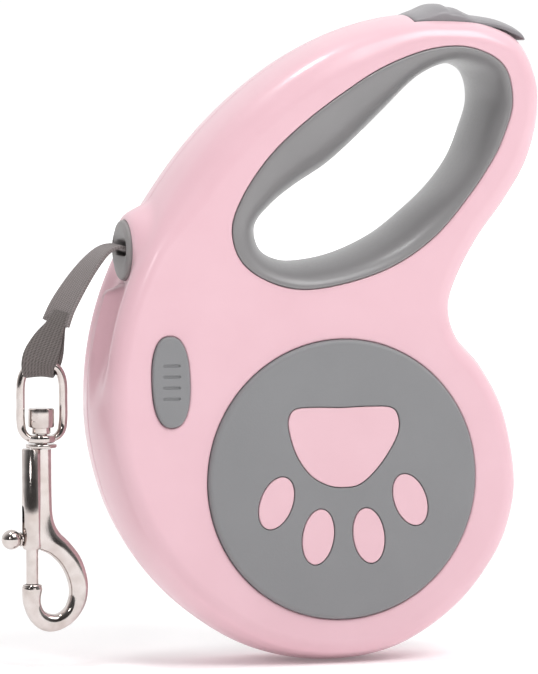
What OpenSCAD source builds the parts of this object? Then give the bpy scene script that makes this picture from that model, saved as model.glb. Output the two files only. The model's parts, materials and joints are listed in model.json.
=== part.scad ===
// Retractable tape leash: a two-shell casing with a hand opening, a sprung spool of woven tape,
// a thumb brake and a bolt snap on a swivel.
// +Z is up, +X runs towards the back of the handle and the front face looks along -Y.
// The origin is the middle of the hand opening. Outlines are measured from the spool's axis.

/* [Casing] */
// Thickness between the two flat faces
case_t = 34; // [30:0.5:38]
// Wall of the two moulded shells
wall = 2; // [1.6:0.1:2.4]
// How far the sides bulge out at the parting line
crown = 4; // [2:0.5:5]
// Radius of the edge between a side and a face
edge_r = 3; // [1:0.5:4]
// Height that the badges stand proud of the faces
badge_proud = 1.2; // [0.6:0.1:1.6]
// Radius of the round badges over the spool
badge_r = 38.5; // [34:0.5:40]

/* [Spool] */
// Width of the woven tape
tape_w = 10; // [8:0.5:11]
// Thickness of the woven tape
tape_t = 1.2; // [0.8:0.1:1.4]
// Outer radius of the wound tape
coil_r = 34.6; // [30:0.2:35]
// Outer radius of the ratchet wheel
ratchet_r = 40; // [39:0.5:40.5]
// Radius of the steel axle
axle_r = 4; // [3:0.25:5]

/* [Brake] */
// Travel of the thumb button
button_travel = 3; // [2:0.25:3]
// Half width of the thumb button
button_half = 11.4; // [7:0.2:12]
// Thickness of the pawl and of the push link
lever_t = 2.4; // [1.6:0.2:2.6]

/* [Bolt snap] */
// Radius of the gate rod
gate_r = 1.7; // [1.4:0.1:1.9]
// Travel of the gate
gate_travel = 8; // [6:0.5:8]
// Thickness of the cast hook arm
hook_t = 5; // [4:0.5:6]
// Wire radius of the swivel ring
ring_wire_r = 1.25; // [1:0.05:1.5]

/* [Hidden] */
$fn = 64;

grip_x = 11;               // hand opening's middle, from the spool's axis
grip_z = 86;
half_t = case_t / 2;
gap = 0.3;                 // between pieces that move past each other
seat_gap = 0.15;           // round a fixed piece in its seat
in_y = half_t - wall;      // inner face of a shell's flat wall

// ---------- curves ----------
// A closed smooth curve through the points, with each span cut into n pieces
function spline(p, n) = [
  for (i = [0 : len(p) - 1], k = [0 : n - 1])
    let (m = len(p), a = p[(i + m - 1) % m], b = p[i], c = p[(i + 1) % m], d = p[(i + 2) % m], t = k / n)
      0.5 * (2 * b + (c - a) * t + (2 * a - 5 * b + 4 * c - d) * t * t + (3 * b - a - 3 * c + d) * t * t * t)
];
// An open smooth curve through the points, ends included
function open_spline(p, n) = [
  for (i = [0 : len(p) - 2], k = [0 : n - (i == len(p) - 2 ? 0 : 1)])
    let (a = p[max(i - 1, 0)], b = p[i], c = p[i + 1], d = p[min(i + 2, len(p) - 1)], t = k / n)
      0.5 * (2 * b + (c - a) * t + (2 * a - 5 * b + 4 * c - d) * t * t + (3 * b - a - 3 * c + d) * t * t * t)
];
// The outward direction at point i of a closed curve that runs counterclockwise
function out_at(p, i) =
  let (m = len(p), d = p[(i + 1) % m] - p[(i + m - 1) % m]) [d.y, -d.x] / norm(d);
function grown(p, by) = [for (i = [0 : len(p) - 1]) p[i] + by * out_at(p, i)];
// The outline of a strip that reaches half_w to each side of an open path
function band(p, half_w) =
  let (
    m = len(p),
    side = [
      for (i = [0 : m - 1])
        let (d = p[min(i + 1, m - 1)] - p[max(i - 1, 0)])
          [-d.y, d.x] / norm(d)
    ]
  )
    concat(
      [for (i = [0 : m - 1]) p[i] - half_w * side[i]],
      [for (i = [m - 1 : -1 : 0]) p[i] + half_w * side[i]]
    );
function ellipse(a, b, n) = [for (i = [0 : n - 1]) [a * cos(360 * i / n), b * sin(360 * i / n)]];
function reversed(p) = [for (i = [len(p) - 1 : -1 : 0]) p[i]];
function turned(p, at, angle) = [
  for (q = p) at + [q.x * cos(angle) - q.y * sin(angle), q.x * sin(angle) + q.y * cos(angle)]
];

// ---------- outlines, [x, z] from the spool's axis, counterclockwise ----------
case_outline = spline([
  [53.6, 1], [50.2, 18], [43.6, 30.5], [36.6, 38.6], [34.3, 46.5], [36.6, 54.5], [42.5, 65],
  [50, 75], [56.6, 86], [60, 98.5], [59.6, 110], [54.2, 121], [44, 126.2], [32, 127.5],
  [18, 126.8], [3.3, 122.9], [-11.6, 115.7], [-25.3, 105.8], [-37.5, 94], [-47.5, 81.2],
  [-56.2, 67.2], [-63, 52], [-66.8, 37], [-67.9, 22], [-66.3, 7], [-61, -9.5], [-51.4, -25],
  [-38.5, -37.5], [-21.8, -47.2], [-2, -51.2], [18.2, -48.5], [35.8, -38], [47.6, -23.6], [52.6, -11]
], 3);
case_middle = [2, 27];
// Edge of the hand opening in the flat faces
mouth_outline = spline([
  [46.4, 92.8], [49.4, 103.2], [46.8, 113.4], [37.2, 118.4], [25.4, 118], [12, 113.2],
  [0.5, 106.3], [-10.5, 98.4], [-20.5, 89.3], [-28, 79], [-31.6, 69.5], [-29.2, 60.6],
  [-21.5, 54.8], [-10.5, 52.3], [4, 54.6], [16.5, 59.3], [27.5, 67], [36.5, 77.2], [42.5, 85.6]
], 4);
// Ridge of the soft grips, where they leave the hand most room
ridge_outline = spline([
  [40.2, 95.2], [42.7, 104.3], [41, 111.2], [34.2, 113], [25.6, 108.4], [16, 99.6],
  [7.6, 92.2], [-0.6, 86], [-9.6, 80.4], [-16.6, 75.2], [-20.4, 69.4], [-19, 63.4],
  [-13, 60], [-4.3, 60], [5.5, 62.4], [16, 67.4], [24.6, 73.9], [31.6, 81.4], [36.6, 88.4]
], 4);
pad_outline = spline([
  [15.9, 17.2], [13.6, 19.8], [7, 20.2], [-0.5, 20], [-8, 20.2], [-13.9, 19.8], [-16, 17],
  [-15.6, 12.5], [-13.5, 6.6], [-9.6, 1.3], [-4.6, -1.6], [0.2, -2.3], [4.8, -1.5], [9.4, 2.3],
  [13.4, 7.6], [15.9, 12.7]
], 3);

// ---------- places, [x, z] from the spool's axis ----------
grommet_x = -56.6;         // plane that the grommet's flange seats on
grommet_z = 63;
tape_r = coil_r + gap + tape_t / 2;   // radius that the tape's centreline leaves the coil at
exit_x = -58;
exit_z = 63.6;
exit_reach = norm([exit_x, exit_z]);
tape_slope = atan2(exit_z, -exit_x) - asin(tape_r / exit_reach);   // the straight run's rise towards the exit
run_length = sqrt(exit_reach * exit_reach - tape_r * tape_r);
roller_r = 3;
roller_x = -46.6;
roller_drop = (roller_r + gap + tape_t / 2) / cos(tape_slope);
roller_at = [roller_x, exit_z - (roller_x - exit_x) * tan(tape_slope) - roller_drop];
screw_places = [[4.6, 115.9], [-36.8, 81.2], [-54, 4], [37.6, -22], [-22.4, -37.4], [42, 11.4]];
pawl_at = [12.5, 49.5];
pawl_tip_angle = 56;
teeth = 20;
lever_y = -9;              // middle of the pawl, the link and the ratchet wheel
flange_y = tape_w / 2 + 0.7;          // inner face of each spool flange
flange_t = 1.5;
flange_r = ratchet_r - 1;
hub_r = 24;
cassette_r = 34;
cover_y = 12.6;            // inner face of the cassette's cover
button_spring_at = [51, 5];           // [x, y]
button_spring_z = 113;
hook_x = -81;              // swivel's axis
barrel_x = -83.6;          // gate's axis
barrel_top = 9.2;
barrel_bottom = -18.4;
nose_z = -28.4;
ring_x = -80.8;            // swivel ring's middle
ring_top = 31.6;           // middle of the ring's top bar
ring_half = 6;             // from the middle to each side bar

// ---------- helpers ----------
// Puts what is measured from the spool's axis into the part's frame
module from_axis() translate([-grip_x, 0, -grip_z]) children();
// A plate cut to an outline in X and Z, from y0 to y1
module plate(outline, y0, y1)
  translate([0, y1, 0]) rotate([90, 0, 0]) linear_extrude(y1 - y0) polygon(outline);
// A round bar along Y
module bar_y(r, at, y0, y1)
  translate([at.x, y1, at.y]) rotate([90, 0, 0]) cylinder(r = r, h = y1 - y0);
// A round bar along X
module bar_x(r, x0, x1, z, y = 0)
  translate([x0, y, z]) rotate([0, 90, 0]) cylinder(r = r, h = x1 - x0);
// A solid through rings of equal length, each [y, outline], closed by fans from a middle point
module loft(rings, middle) {
  n = len(rings[0][1]);
  m = len(rings);
  ring_points = [for (r = rings, q = r[1]) [q.x, r[0], q.y]];
  ends = [[middle.x, rings[0][0], middle.y], [middle.x, rings[m - 1][0], middle.y]];
  sides = [
    for (j = [0 : m - 2], i = [0 : n - 1])
      let (a = j * n + i, b = j * n + (i + 1) % n)
        each [[a, b + n, b], [a, a + n, b + n]]
  ];
  start = [for (i = [0 : n - 1]) [m * n, i, (i + 1) % n]];
  finish = [for (i = [0 : n - 1]) [m * n + 1, (m - 1) * n + (i + 1) % n, (m - 1) * n + i]];
  polyhedron(concat(ring_points, ends), concat(sides, start, finish));
}
// A ring-shaped solid through loops of equal length, each [y, outline], the last joined to the first
module ring_loft(loops) {
  n = len(loops[0][1]);
  m = len(loops);
  faces = [
    for (j = [0 : m - 1], i = [0 : n - 1])
      let (
        next = (i + 1) % n,
        up = (j + 1) % m,
        a = j * n + i,
        b = j * n + next,
        c = up * n + next,
        d = up * n + i
      )
        each [[a, b, c], [a, c, d]]
  ];
  polyhedron([for (r = loops, q = r[1]) [q.x, r[0], q.y]], faces);
}
function bulge(y) = crown * pow(y / half_t, 2);
// Rings of the casing's outside from the parting line to the front face
function outer_rings() = concat(
  [for (k = [0 : 3]) let (y = -(half_t - edge_r) * k / 3) [y, grown(case_outline, -bulge(y))]],
  [for (a = [30, 60, 90])
    let (y = -half_t + edge_r - edge_r * sin(a)) [y, grown(case_outline, -bulge(y) - edge_r * (1 - cos(a)))]]
);
function cavity_rings() = concat(
  [[0.5, grown(case_outline, -wall)]],
  [for (k = [0 : 3]) let (y = -in_y * k / 3) [y, grown(case_outline, -wall - bulge(y))]]
);

// ---------- casing ----------
// The front half of the casing; the rear half is its mirror image with other fittings
module half_shell(boss_y) {
  difference() {
    union() {
      loft(outer_rings(), case_middle);
      intersection() {
        bar_x(11.4, grommet_x - 0.8, -45, grommet_z);
        translate([-70, -half_t, 0]) cube([40, half_t, 90]);
      }
    }
    difference() {
      loft(cavity_rings(), case_middle);
      plate(grown(mouth_outline, wall), -half_t, 1);
      bar_x(9.4, -60, -51, grommet_z);
      for (p = screw_places) bar_y(2.8, p, -in_y, 1);
    }
    plate(mouth_outline, -half_t - 1, 1);
    bar_y(badge_r + seat_gap, [0, 0], -half_t - 1, -half_t + 1);
    bar_x(8.3 + seat_gap, -70, grommet_x, grommet_z);
    bar_x(7 + seat_gap, -60, -45, grommet_z);
    button_well();
  }
  bar_y(badge_r + 2, [0, 0], -half_t + 1.2, -in_y + 0.6);
  difference() {
    bar_y(7, [0, 0], -in_y, -boss_y);
    bar_y(axle_r, [0, 0], -in_y + 0.5, 0);
  }
  difference() {
    bar_y(2.6, roller_at, -in_y, -11.4);
    bar_y(1.25, roller_at, -12.6, 0);
  }
}
// The opening in the top of the handle that the thumb button moves in
module button_well() {
  floor_z = 123.4 - button_travel;
  plate([[25.7, 140], [25.7, floor_z], [46, floor_z], [56.3, floor_z - 2.6], [56.3, 140]],
    -button_half - 0.4, button_half + 0.4);
}

module front_shell() color("pink") from_axis() {
  difference() {
    half_shell(flange_y + flange_t + gap);
    plate(turned(ellipse(5.4 + seat_gap, 12.4 + seat_gap, 48), [-49, 27.7], 2), -half_t - 1, -half_t + 0.8);
    for (p = screw_places) bar_y(1.1, p, -half_t + 4, 1);
  }
  // Boss for the pawl's pin
  bar_y(2.6, pawl_at, -in_y, lever_y - lever_t / 2 - 3);
}

module rear_shell() color("pink") from_axis() {
  difference() {
    mirror([0, 1, 0]) half_shell(cover_y + gap);
    for (p = screw_places) {
      bar_y(1.5, p, -1, half_t + 1);
      bar_y(2.4, p, half_t - 5, half_t + 5);
    }
  }
  // Shelf under the button's spring
  translate([48.6, 3.4, button_spring_z - 1.6]) cube([8, in_y - 4.4, 1.6]);
}

// One soft grip: a straight back against the shell and a rolled front that leads to the ridge
module half_grip() {
  back = grown(mouth_outline, -seat_gap);
  steps = 6;
  ring_loft(concat(
    [[0, back], [-half_t - 0.3, back]],
    [for (k = [0 : steps])
      let (a = 8 + 82 * k / steps)
        [-(half_t + 0.3) * cos(a) * 0.995, back * (1 - sin(a)) + ridge_outline * sin(a)]]
  ));
}
module front_grip() color("gray") from_axis() half_grip();
module rear_grip() color("gray") from_axis() mirror([0, 1, 0]) half_grip();

// ---------- badges ----------
module badge_disc() {
  bar_y(badge_r - 0.8, [0, 0], -half_t - badge_proud, -half_t + 1);
  bar_y(badge_r, [0, 0], -half_t - badge_proud + 0.8, -half_t + 1);
}
function toe(at, a, b, tilt) = turned(ellipse(a, b, 36), at, tilt);
toe_outlines = [
  toe([-19.3, -6], 4.8, 7.7, -22), toe([19.3, -6], 4.8, 7.7, 22),
  toe([-7.3, -15.6], 4.7, 7.9, -9), toe([7.3, -15.6], 4.7, 7.9, 9)
];
module front_badge() color("gray") from_axis() difference() {
  badge_disc();
  plate(pad_outline, -half_t - 5, -half_t - badge_proud + 1);
  for (t = toe_outlines) plate(t, -half_t - 5, -half_t - badge_proud + 1);
}
module rear_badge() color("gray") from_axis() mirror([0, 1, 0]) badge_disc();
module paw_pad() color("pink") from_axis()
  plate(grown(pad_outline, -seat_gap), -half_t - badge_proud, -half_t - badge_proud + 1);
module paw_toes() color("pink") from_axis() for (t = toe_outlines)
  plate(grown(t, -seat_gap), -half_t - badge_proud, -half_t - badge_proud + 1);
// An oval badge with a row of short sunk bars
module side_badge() color("gray") from_axis() difference() {
  plate(turned(ellipse(5.4, 12.4, 48), [-49, 27.7], 2), -half_t - 0.9, -half_t + 0.8);
  for (k = [-1.5 : 1.5]) translate([-51.4, -half_t - 2, 27.7 + 3 * k - 0.4]) cube([4.8, 1.5, 0.8]);
}

// ---------- fittings ----------
module leash_grommet() color("gray") from_axis() difference() {
  union() {
    bar_x(8.3, grommet_x - 2, grommet_x, grommet_z);
    bar_x(7, grommet_x - 2, -50, grommet_z);
  }
  translate([exit_x, 0, exit_z]) rotate([0, tape_slope, 0]) cube([30, 12.4, 3.8], center = true);
}
module shell_screws() color("silver") from_axis() for (p = screw_places) {
  bar_y(1.1, p, -half_t + 5, half_t - 5);
  difference() {
    bar_y(2.2, p, half_t - 5, half_t - 3.4);
    translate([p.x - 1.5, half_t - 4.1, p.y - 0.25]) cube([3, 2, 0.5]);
    translate([p.x - 0.25, half_t - 4.1, p.y - 1.5]) cube([0.5, 2, 3]);
  }
}

// ---------- spool ----------
module axle() color("silver") from_axis() bar_y(axle_r, [0, 0], -in_y + 0.7, in_y - 0.7);
// Flanged bushings that the spool turns on
module axle_bushings() color("khaki") from_axis() for (s = [-1, 1]) difference() {
  union() {
    bar_y(axle_r + 1, [0, 0], min(s * 2, s * flange_y), max(s * 2, s * flange_y));
    bar_y(axle_r + 2.4, [0, 0], min(s * 2, s * 3), max(s * 2, s * 3));
  }
  bar_y(axle_r + 0.05, [0, 0], -10, 10);
}
module spool() color("dimgray") from_axis() {
  for (s = [-1, 1]) difference() {
    bar_y(flange_r, [0, 0], s > 0 ? flange_y : -flange_y - flange_t, s > 0 ? flange_y + flange_t : -flange_y);
    bar_y(axle_r + 0.05, [0, 0], -10, 10);
    for (a = [30 : 60 : 330]) bar_y(3.6, [30 * cos(a), 30 * sin(a)], -10, 10);
  }
  difference() {
    bar_y(hub_r, [0, 0], -flange_y, flange_y);
    bar_y(hub_r - 2, [0, 0], -flange_y, flange_y);
  }
  difference() {
    bar_y(axle_r + 3.4, [0, 0], -flange_y, flange_y);
    bar_y(axle_r + 1, [0, 0], -10, 10);
    for (s = [-1, 1]) bar_y(axle_r + 2.4, [0, 0], s * 2.5 - 0.5, s * 2.5 + 0.5);
  }
}
// A wheel with square-shouldered teeth, and a gap facing the pawl's tip
module ratchet_wheel() color("lightsteelblue") from_axis() difference() {
  plate(
    [for (i = [0 : teeth - 1], k = [[0.3, 0], [0.38, 1], [0.62, 1], [0.7, 0]])
      let (a = pawl_tip_angle + 360 * (i + k[0]) / teeth, r = ratchet_r - 3 + 3 * k[1])
        [r * cos(a), r * sin(a)]],
    lever_y - 1.5, -flange_y - flange_t
  );
  bar_y(26, [0, 0], -20, 0);
}
module wound_tape() color("dimgray") from_axis() difference() {
  bar_y(coil_r, [0, 0], -tape_w / 2, tape_w / 2);
  bar_y(hub_r, [0, 0], -10, 10);
}
module spring_cassette() color("slategray") from_axis() difference() {
  bar_y(cassette_r, [0, 0], flange_y + flange_t, cover_y);
  bar_y(cassette_r - 1.6, [0, 0], flange_y + flange_t + 1.2, 14);
  bar_y(axle_r + 0.05, [0, 0], 0, 14);
}
module cassette_cover() color("slategray") from_axis() difference() {
  bar_y(cassette_r, [0, 0], cover_y, cover_y + 1);
  bar_y(7.6, [0, 0], 12, 15);
}
// A flat spiral strip, closed by a full turn at each end
spring_turns = 7;
spring_steps = 30;
module power_spring() color("steelblue") from_axis() {
  r0 = axle_r + 1.6;
  r1 = cassette_r - 2.6;
  n = spring_turns * spring_steps;
  plate(
    concat(
      [for (i = [0 : n])
        let (r = r0 + (r1 - r0) * i / n, a = 360 * i / spring_steps)
          [r * cos(a), r * sin(a)]],
      [for (i = [n : -1 : 0])
        let (r = r0 - 0.5 + (r1 - r0) * i / n, a = 360 * i / spring_steps)
          [r * cos(a), r * sin(a)]]
    ), flange_y + flange_t + 1.5, cover_y - 0.3
  );
}

// ---------- tape guide ----------
module guide_roller() color("white") from_axis() difference() {
  bar_y(roller_r, roller_at, -6.4, 6.4);
  bar_y(1.3, roller_at, -10, 10);
}
module guide_pin() color("silver") from_axis() {
  bar_y(1.25, roller_at, -12.6, 12.6);
}

// ---------- brake ----------
// The button's side view: a long ramp up to a thumb hump, then down round the handle's back
button_top = open_spline([
  [26.2, 127.2], [28.4, 128.8], [33, 130.1], [37, 129.2],
  [42.2, 127.4], [48, 126.4], [53.2, 124.6], [55.8, 122.6]
], 4);
button_bottom = [[55.8, 121.8], [50, 123.6], [42, 124.6], [26.2, 124.9]];
module thumb_button() color("gray") from_axis() {
  plate(concat(reversed(button_top), reversed(button_bottom)), -button_half, button_half);
  // Posts down to the link and the spring
  translate([49.3, lever_y + 2.2, 117]) cube([2.2, 3, 7]);
  translate([49.3, lever_y - 1, 117]) cube([2.2, 4, 1.2]);
  translate([button_spring_at.x, button_spring_at.y, button_spring_z + 5.6]) cylinder(r = 1.3, h = 5);
}
// A short compression spring under the button
module button_spring() color("silver") from_axis() for (k = [0 : 4])
  translate([button_spring_at.x, button_spring_at.y, button_spring_z + 0.25 + 1.27 * k])
    rotate_extrude() translate([1.05, 0]) circle(r = 0.25, $fn = 24);
// The push link that follows the back of the handle down to the pawl
link_path = [
  [52.5, 115.3], [54.6, 109], [54.6, 102], [53, 94], [49.2, 85.4], [43.6, 76.5], [37.2, 67.5], [32, 59],
  [29, 51], [28.4, 46.6]
];
link_w = 2.4;
module brake_link() color("silver") from_axis()
  plate(band(open_spline(link_path, 3), link_w / 2), lever_y - lever_t / 2, lever_y + lever_t / 2);
// A lever on a pin at its left end: the link presses its right end, and its tooth drops into the wheel
pawl_end = [28.2, 43.6];
module brake_pawl() color("silver") from_axis() {
  tip = (ratchet_r + 0.5) * [cos(pawl_tip_angle), sin(pawl_tip_angle)];
  side = [-sin(pawl_tip_angle), cos(pawl_tip_angle)];
  out = [cos(pawl_tip_angle), sin(pawl_tip_angle)];
  along = (pawl_end - pawl_at) / norm(pawl_end - pawl_at);
  up = [-along.y, along.x];
  low = lever_y - lever_t / 2;
  high = lever_y + lever_t / 2;
  difference() {
    union() {
      bar_y(3, pawl_at, low, high);
      bar_y(2, pawl_end, low, high);
      plate([pawl_at - 3 * up, pawl_end - 2 * up, pawl_end + 2 * up, pawl_at + 3 * up], low, high);
      plate(
        [tip + 1.4 * side, tip - 1.4 * side, tip - 2.6 * side + 8 * out, tip + 2.6 * side + 8 * out],
        low, high
      );
    }
    bar_y(1.55, pawl_at, -20, 0);
  }
}
module pawl_pin() color("silver") from_axis() {
  bar_y(1.5, pawl_at, lever_y - lever_t / 2 - 3, lever_y + lever_t / 2 + 1.2);
}
module pawl_spring() color("silver") from_axis()
  for (k = [0 : 2])
    translate([pawl_at.x, lever_y + lever_t / 2 + 0.7 + 0.7 * k, pawl_at.y])
      rotate([90, 0, 0])
        rotate_extrude() translate([2.4, 0]) circle(r = 0.3, $fn = 24);

// ---------- tape outside the casing ----------
// Stations along the tape: [x, z, turn of its width away from Y]
tape_stations = [
  [exit_x + run_length * cos(tape_slope), exit_z - run_length * sin(tape_slope), 0],
  [exit_x, exit_z, 0], [-60.6, 64.1, 2], [-63.4, 63, 6], [-66.4, 60.2, 12], [-69.6, 56.2, 18],
  [-72.8, 51.4, 24], [-75.2, 47.2, 28], [-76.6, 43.8, 32]
];
// A flat strip swept along stations in the XZ plane, its width turning out of Y by each station's angle
module strip(stations, width, thick) {
  m = len(stations);
  corners = [[-1, -1], [1, -1], [1, 1], [-1, 1]];
  points = [
    for (j = [0 : m - 1])
      let (
        s = stations[j], a = stations[max(j - 1, 0)], b = stations[min(j + 1, m - 1)],
        d = [b.x - a.x, b.y - a.y] / norm([b.x - a.x, b.y - a.y]),
        side = [-d.y, 0, d.x],
        w = -[0, 1, 0] * cos(s.z) + side * sin(s.z),
        n = [0, 1, 0] * sin(s.z) + side * cos(s.z)
      )
        for (c = corners) [s.x, 0, s.y] + w * c.x * width / 2 + n * c.y * thick / 2
  ];
  polyhedron(points, concat(
    [[0, 1, 2, 3], [4 * m - 1, 4 * m - 2, 4 * m - 3, 4 * m - 4]],
    [for (j = [0 : m - 2], k = [0 : 3])
      let (a = 4 * j + k, b = 4 * j + (k + 1) % 4) each [[a, b + 4, b], [a, a + 4, b + 4]]]
  ));
}
module leash_tape() color("dimgray") from_axis() strip(tape_stations, tape_w, tape_t);
// The folded, sewn end that loops round the ring's top bar
module tape_loop() color("dimgray") from_axis() difference() {
  strip([[-76.8, 43.3, 32], [-78.4, 39.6, 60], [-80.2, 35.4, 84], [-80.8, 29.6, 90]], 6.8, 3.9);
  bar_x(ring_wire_r + 0.08, -92, -70, ring_top);
}

// ---------- swivel and bolt snap ----------
// The ring is a bent wire with an eye plate at the bottom for the post
ring_path = spline([
  [3.8, ring_top], [0, ring_top], [-3.8, ring_top],
  [-5.7, ring_top - 2], [-ring_half, 26], [-ring_half, 17.5],
  [-5.6, 14], [-3.8, 11.9], [0, 11.8], [3.8, 11.9], [5.6, 14], [ring_half, 17.5], [ring_half, 26],
  [5.7, ring_top - 2]
], 4);
module swivel_ring() color("silver") from_axis() {
  difference() {
    union() {
      difference() {
        plate(turned(grown(ring_path, ring_wire_r), [ring_x, 0], 0), -ring_wire_r, ring_wire_r);
        plate(turned(grown(ring_path, -ring_wire_r), [ring_x, 0], 0), -5, 5);
      }
      translate([hook_x, 0, 10.8]) cylinder(r = 3.9, h = 2);
    }
    translate([hook_x, 0, 9]) cylinder(r = 1.65, h = 6);
    translate([ring_x - 3.8, -5, ring_top - 2]) cube([7.6, 10, 4]);
  }
  bar_x(ring_wire_r, ring_x - 3.9, ring_x + 3.9, ring_top);
}
module swivel_post() color("silver") from_axis() {
  translate([hook_x, 0, 15]) cylinder(r = 3.6, h = 5.2);
  translate([hook_x, 0, 13.1]) cylinder(r = 2.6, h = 2);
  translate([hook_x, 0, barrel_top]) cylinder(r = 1.6, h = 5);
}
module swivel_washer() color("silver") from_axis() difference() {
  translate([hook_x, 0, barrel_top + 0.2]) cylinder(r = 4.3, h = 1);
  translate([hook_x, 0, barrel_top]) cylinder(r = 1.65, h = 3);
}
hook_outer = open_spline([
  [-78.5, barrel_top], [-78.5, -4], [-77.8, -10.8], [-75.6, -14.2], [-72.4, -17.4],
  [-69.4, -21.8], [-68, -27.4], [-68.4, -32.6], [-70.4, -36.8], [-73.6, -39.7],
  [-77.6, -41.2], [-81.4, -40.5], [-84.4, -37.6], [-86.1, -33.2],
  [-86.4, nose_z]
], 3);
hook_inner = open_spline([
  [-81, nose_z], [-81.2, -33], [-79.4, -35.6], [-76.6, -36.2], [-74.2, -34.2], [-73.2, -30.6], [-73.8, -26.8],
  [-75.8, -22.8], [-78.4, -20.2], [-81.4, barrel_bottom]
], 3);
module hook_body() color("silver") from_axis() difference() {
  union() {
    plate(
      concat([[barrel_x, barrel_top]], reversed(hook_inner), reversed(hook_outer)),
      -hook_t / 2, hook_t / 2
    );
    translate([barrel_x, 0, barrel_bottom]) cylinder(r = 2.8, h = barrel_top - barrel_bottom);
  }
  translate([barrel_x, 0, barrel_bottom - 1]) cylinder(r = gate_r + 0.1, h = 24);
  translate([barrel_x - 4, -1.3, barrel_bottom + 1.2]) cube([4, 2.6, gate_travel + 3]);
  translate([barrel_x, 0, nose_z - 1]) cylinder(r = gate_r + 0.3, h = 3);
}
module gate_bolt() color("silver") from_axis() {
  knob_z = -15.6;
  translate([barrel_x, 0, nose_z - 0.6]) cylinder(r = gate_r, h = 17.6);
  bar_x(0.95, barrel_x - 5, barrel_x, knob_z);
  translate([barrel_x - 5.8, 0, knob_z]) sphere(r = 2.8);
}
module gate_spring() color("silver") from_axis()
  for (k = [0 : 9])
    translate([barrel_x, 0, -11 + 1.6 * k])
      rotate_extrude() translate([1.2, 0]) circle(r = 0.28, $fn = 24);

front_shell();
rear_shell();
front_grip();
rear_grip();
front_badge();
rear_badge();
paw_pad();
paw_toes();
side_badge();
leash_grommet();
shell_screws();
axle();
axle_bushings();
spool();
ratchet_wheel();
wound_tape();
spring_cassette();
cassette_cover();
power_spring();
guide_roller();
guide_pin();
thumb_button();
button_spring();
brake_link();
brake_pawl();
pawl_pin();
pawl_spring();
leash_tape();
tape_loop();
swivel_ring();
swivel_post();
swivel_washer();
hook_body();
gate_bolt();
gate_spring();
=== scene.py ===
"""Retractable tape leash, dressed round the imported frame.

Every size below is in millimetres, measured from the spool's axis: x towards the back of the
handle, y away from the front face, z up. Placing a piece turns that into metres in the frame.
"""

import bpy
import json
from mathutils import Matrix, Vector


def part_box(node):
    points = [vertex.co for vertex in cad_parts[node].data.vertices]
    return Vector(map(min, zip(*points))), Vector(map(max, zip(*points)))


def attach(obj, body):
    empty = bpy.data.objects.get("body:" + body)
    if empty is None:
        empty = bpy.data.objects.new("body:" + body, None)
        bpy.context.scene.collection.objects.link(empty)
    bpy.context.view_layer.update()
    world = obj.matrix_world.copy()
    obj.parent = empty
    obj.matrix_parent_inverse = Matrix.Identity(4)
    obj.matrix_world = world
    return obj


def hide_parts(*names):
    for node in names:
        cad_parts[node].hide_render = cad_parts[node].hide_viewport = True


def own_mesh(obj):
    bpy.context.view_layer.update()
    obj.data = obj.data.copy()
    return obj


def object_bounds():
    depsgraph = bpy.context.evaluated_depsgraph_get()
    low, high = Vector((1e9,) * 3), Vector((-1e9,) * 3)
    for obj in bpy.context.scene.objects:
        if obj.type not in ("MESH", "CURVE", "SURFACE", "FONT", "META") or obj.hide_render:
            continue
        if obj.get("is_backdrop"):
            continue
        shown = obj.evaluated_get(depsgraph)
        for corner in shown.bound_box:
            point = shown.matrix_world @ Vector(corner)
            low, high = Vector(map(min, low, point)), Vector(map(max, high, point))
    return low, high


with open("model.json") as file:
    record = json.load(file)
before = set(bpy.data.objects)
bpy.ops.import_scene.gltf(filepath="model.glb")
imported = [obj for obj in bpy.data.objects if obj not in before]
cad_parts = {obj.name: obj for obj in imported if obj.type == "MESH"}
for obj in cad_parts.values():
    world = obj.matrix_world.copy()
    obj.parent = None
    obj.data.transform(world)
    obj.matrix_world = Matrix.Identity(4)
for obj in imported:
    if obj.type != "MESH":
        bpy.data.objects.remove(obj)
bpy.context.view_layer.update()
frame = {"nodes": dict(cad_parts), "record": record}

import json
import logging
import math
from dataclasses import dataclass, field
from enum import Enum
from typing import Optional, Sequence

import bmesh
import bpy
from mathutils import Matrix, Vector

LOG = logging.getLogger("leash")
MM = 0.001
Point2 = tuple[float, float]
Point3 = tuple[float, float, float]
Loop2 = list[Vector]
Ring = list[bmesh.types.BMVert]
Colour = tuple[float, float, float, float]
TapeFrame = tuple[Vector, Vector, Vector]

HALF_T = 17.0          # from the parting plane to a flat face
WALL = 2.0             # shell wall
CROWN = 4.0            # how far the sides bulge at the parting line
EDGE_R = 3.0           # radius between a side and a face
BADGE_PROUD = 1.2      # badge above the face
BADGE_R = 38.5         # round badges over the spool
SEAT_GAP = 0.15        # round a fixed piece in its seat
SLIVER = 0.001 * MM    # a cut leaves no edge shorter than this
SEAM = 0.002 * MM      # a turned shape's seam and poles close within this
SHARP = 38.0           # edges that bend by more degrees than this are drawn sharp


class Side(Enum):
    """Which half of the casing a piece belongs to, as the sign of its y."""

    FRONT = -1.0
    REAR = 1.0


# ---------------------------------------------------------------- places and curves


def spool_axis() -> Vector:
    """The middle of the axle in the frame, in metres."""
    low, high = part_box("axle")
    return (Vector(low) + Vector(high)) / 2


AXIS = spool_axis()


def place(x: float, y: float, z: float) -> Vector:
    """Turns a place measured from the spool's axis into a point of the frame.

    Args:
        x: Millimetres towards the back of the handle.
        y: Millimetres away from the front face.
        z: Millimetres up.

    Returns:
        The point in metres.
    """
    return Vector((x * MM + AXIS.x, y * MM, z * MM + AXIS.z))


def catmull(a: Vector, b: Vector, c: Vector, d: Vector, t: float) -> Vector:
    """One point of the smooth span from b to c."""
    square, cube = (2 * a - 5 * b + 4 * c - d) * t * t, (3 * b - a - 3 * c + d) * t ** 3
    return 0.5 * (2 * b + (c - a) * t + square + cube)


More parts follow.
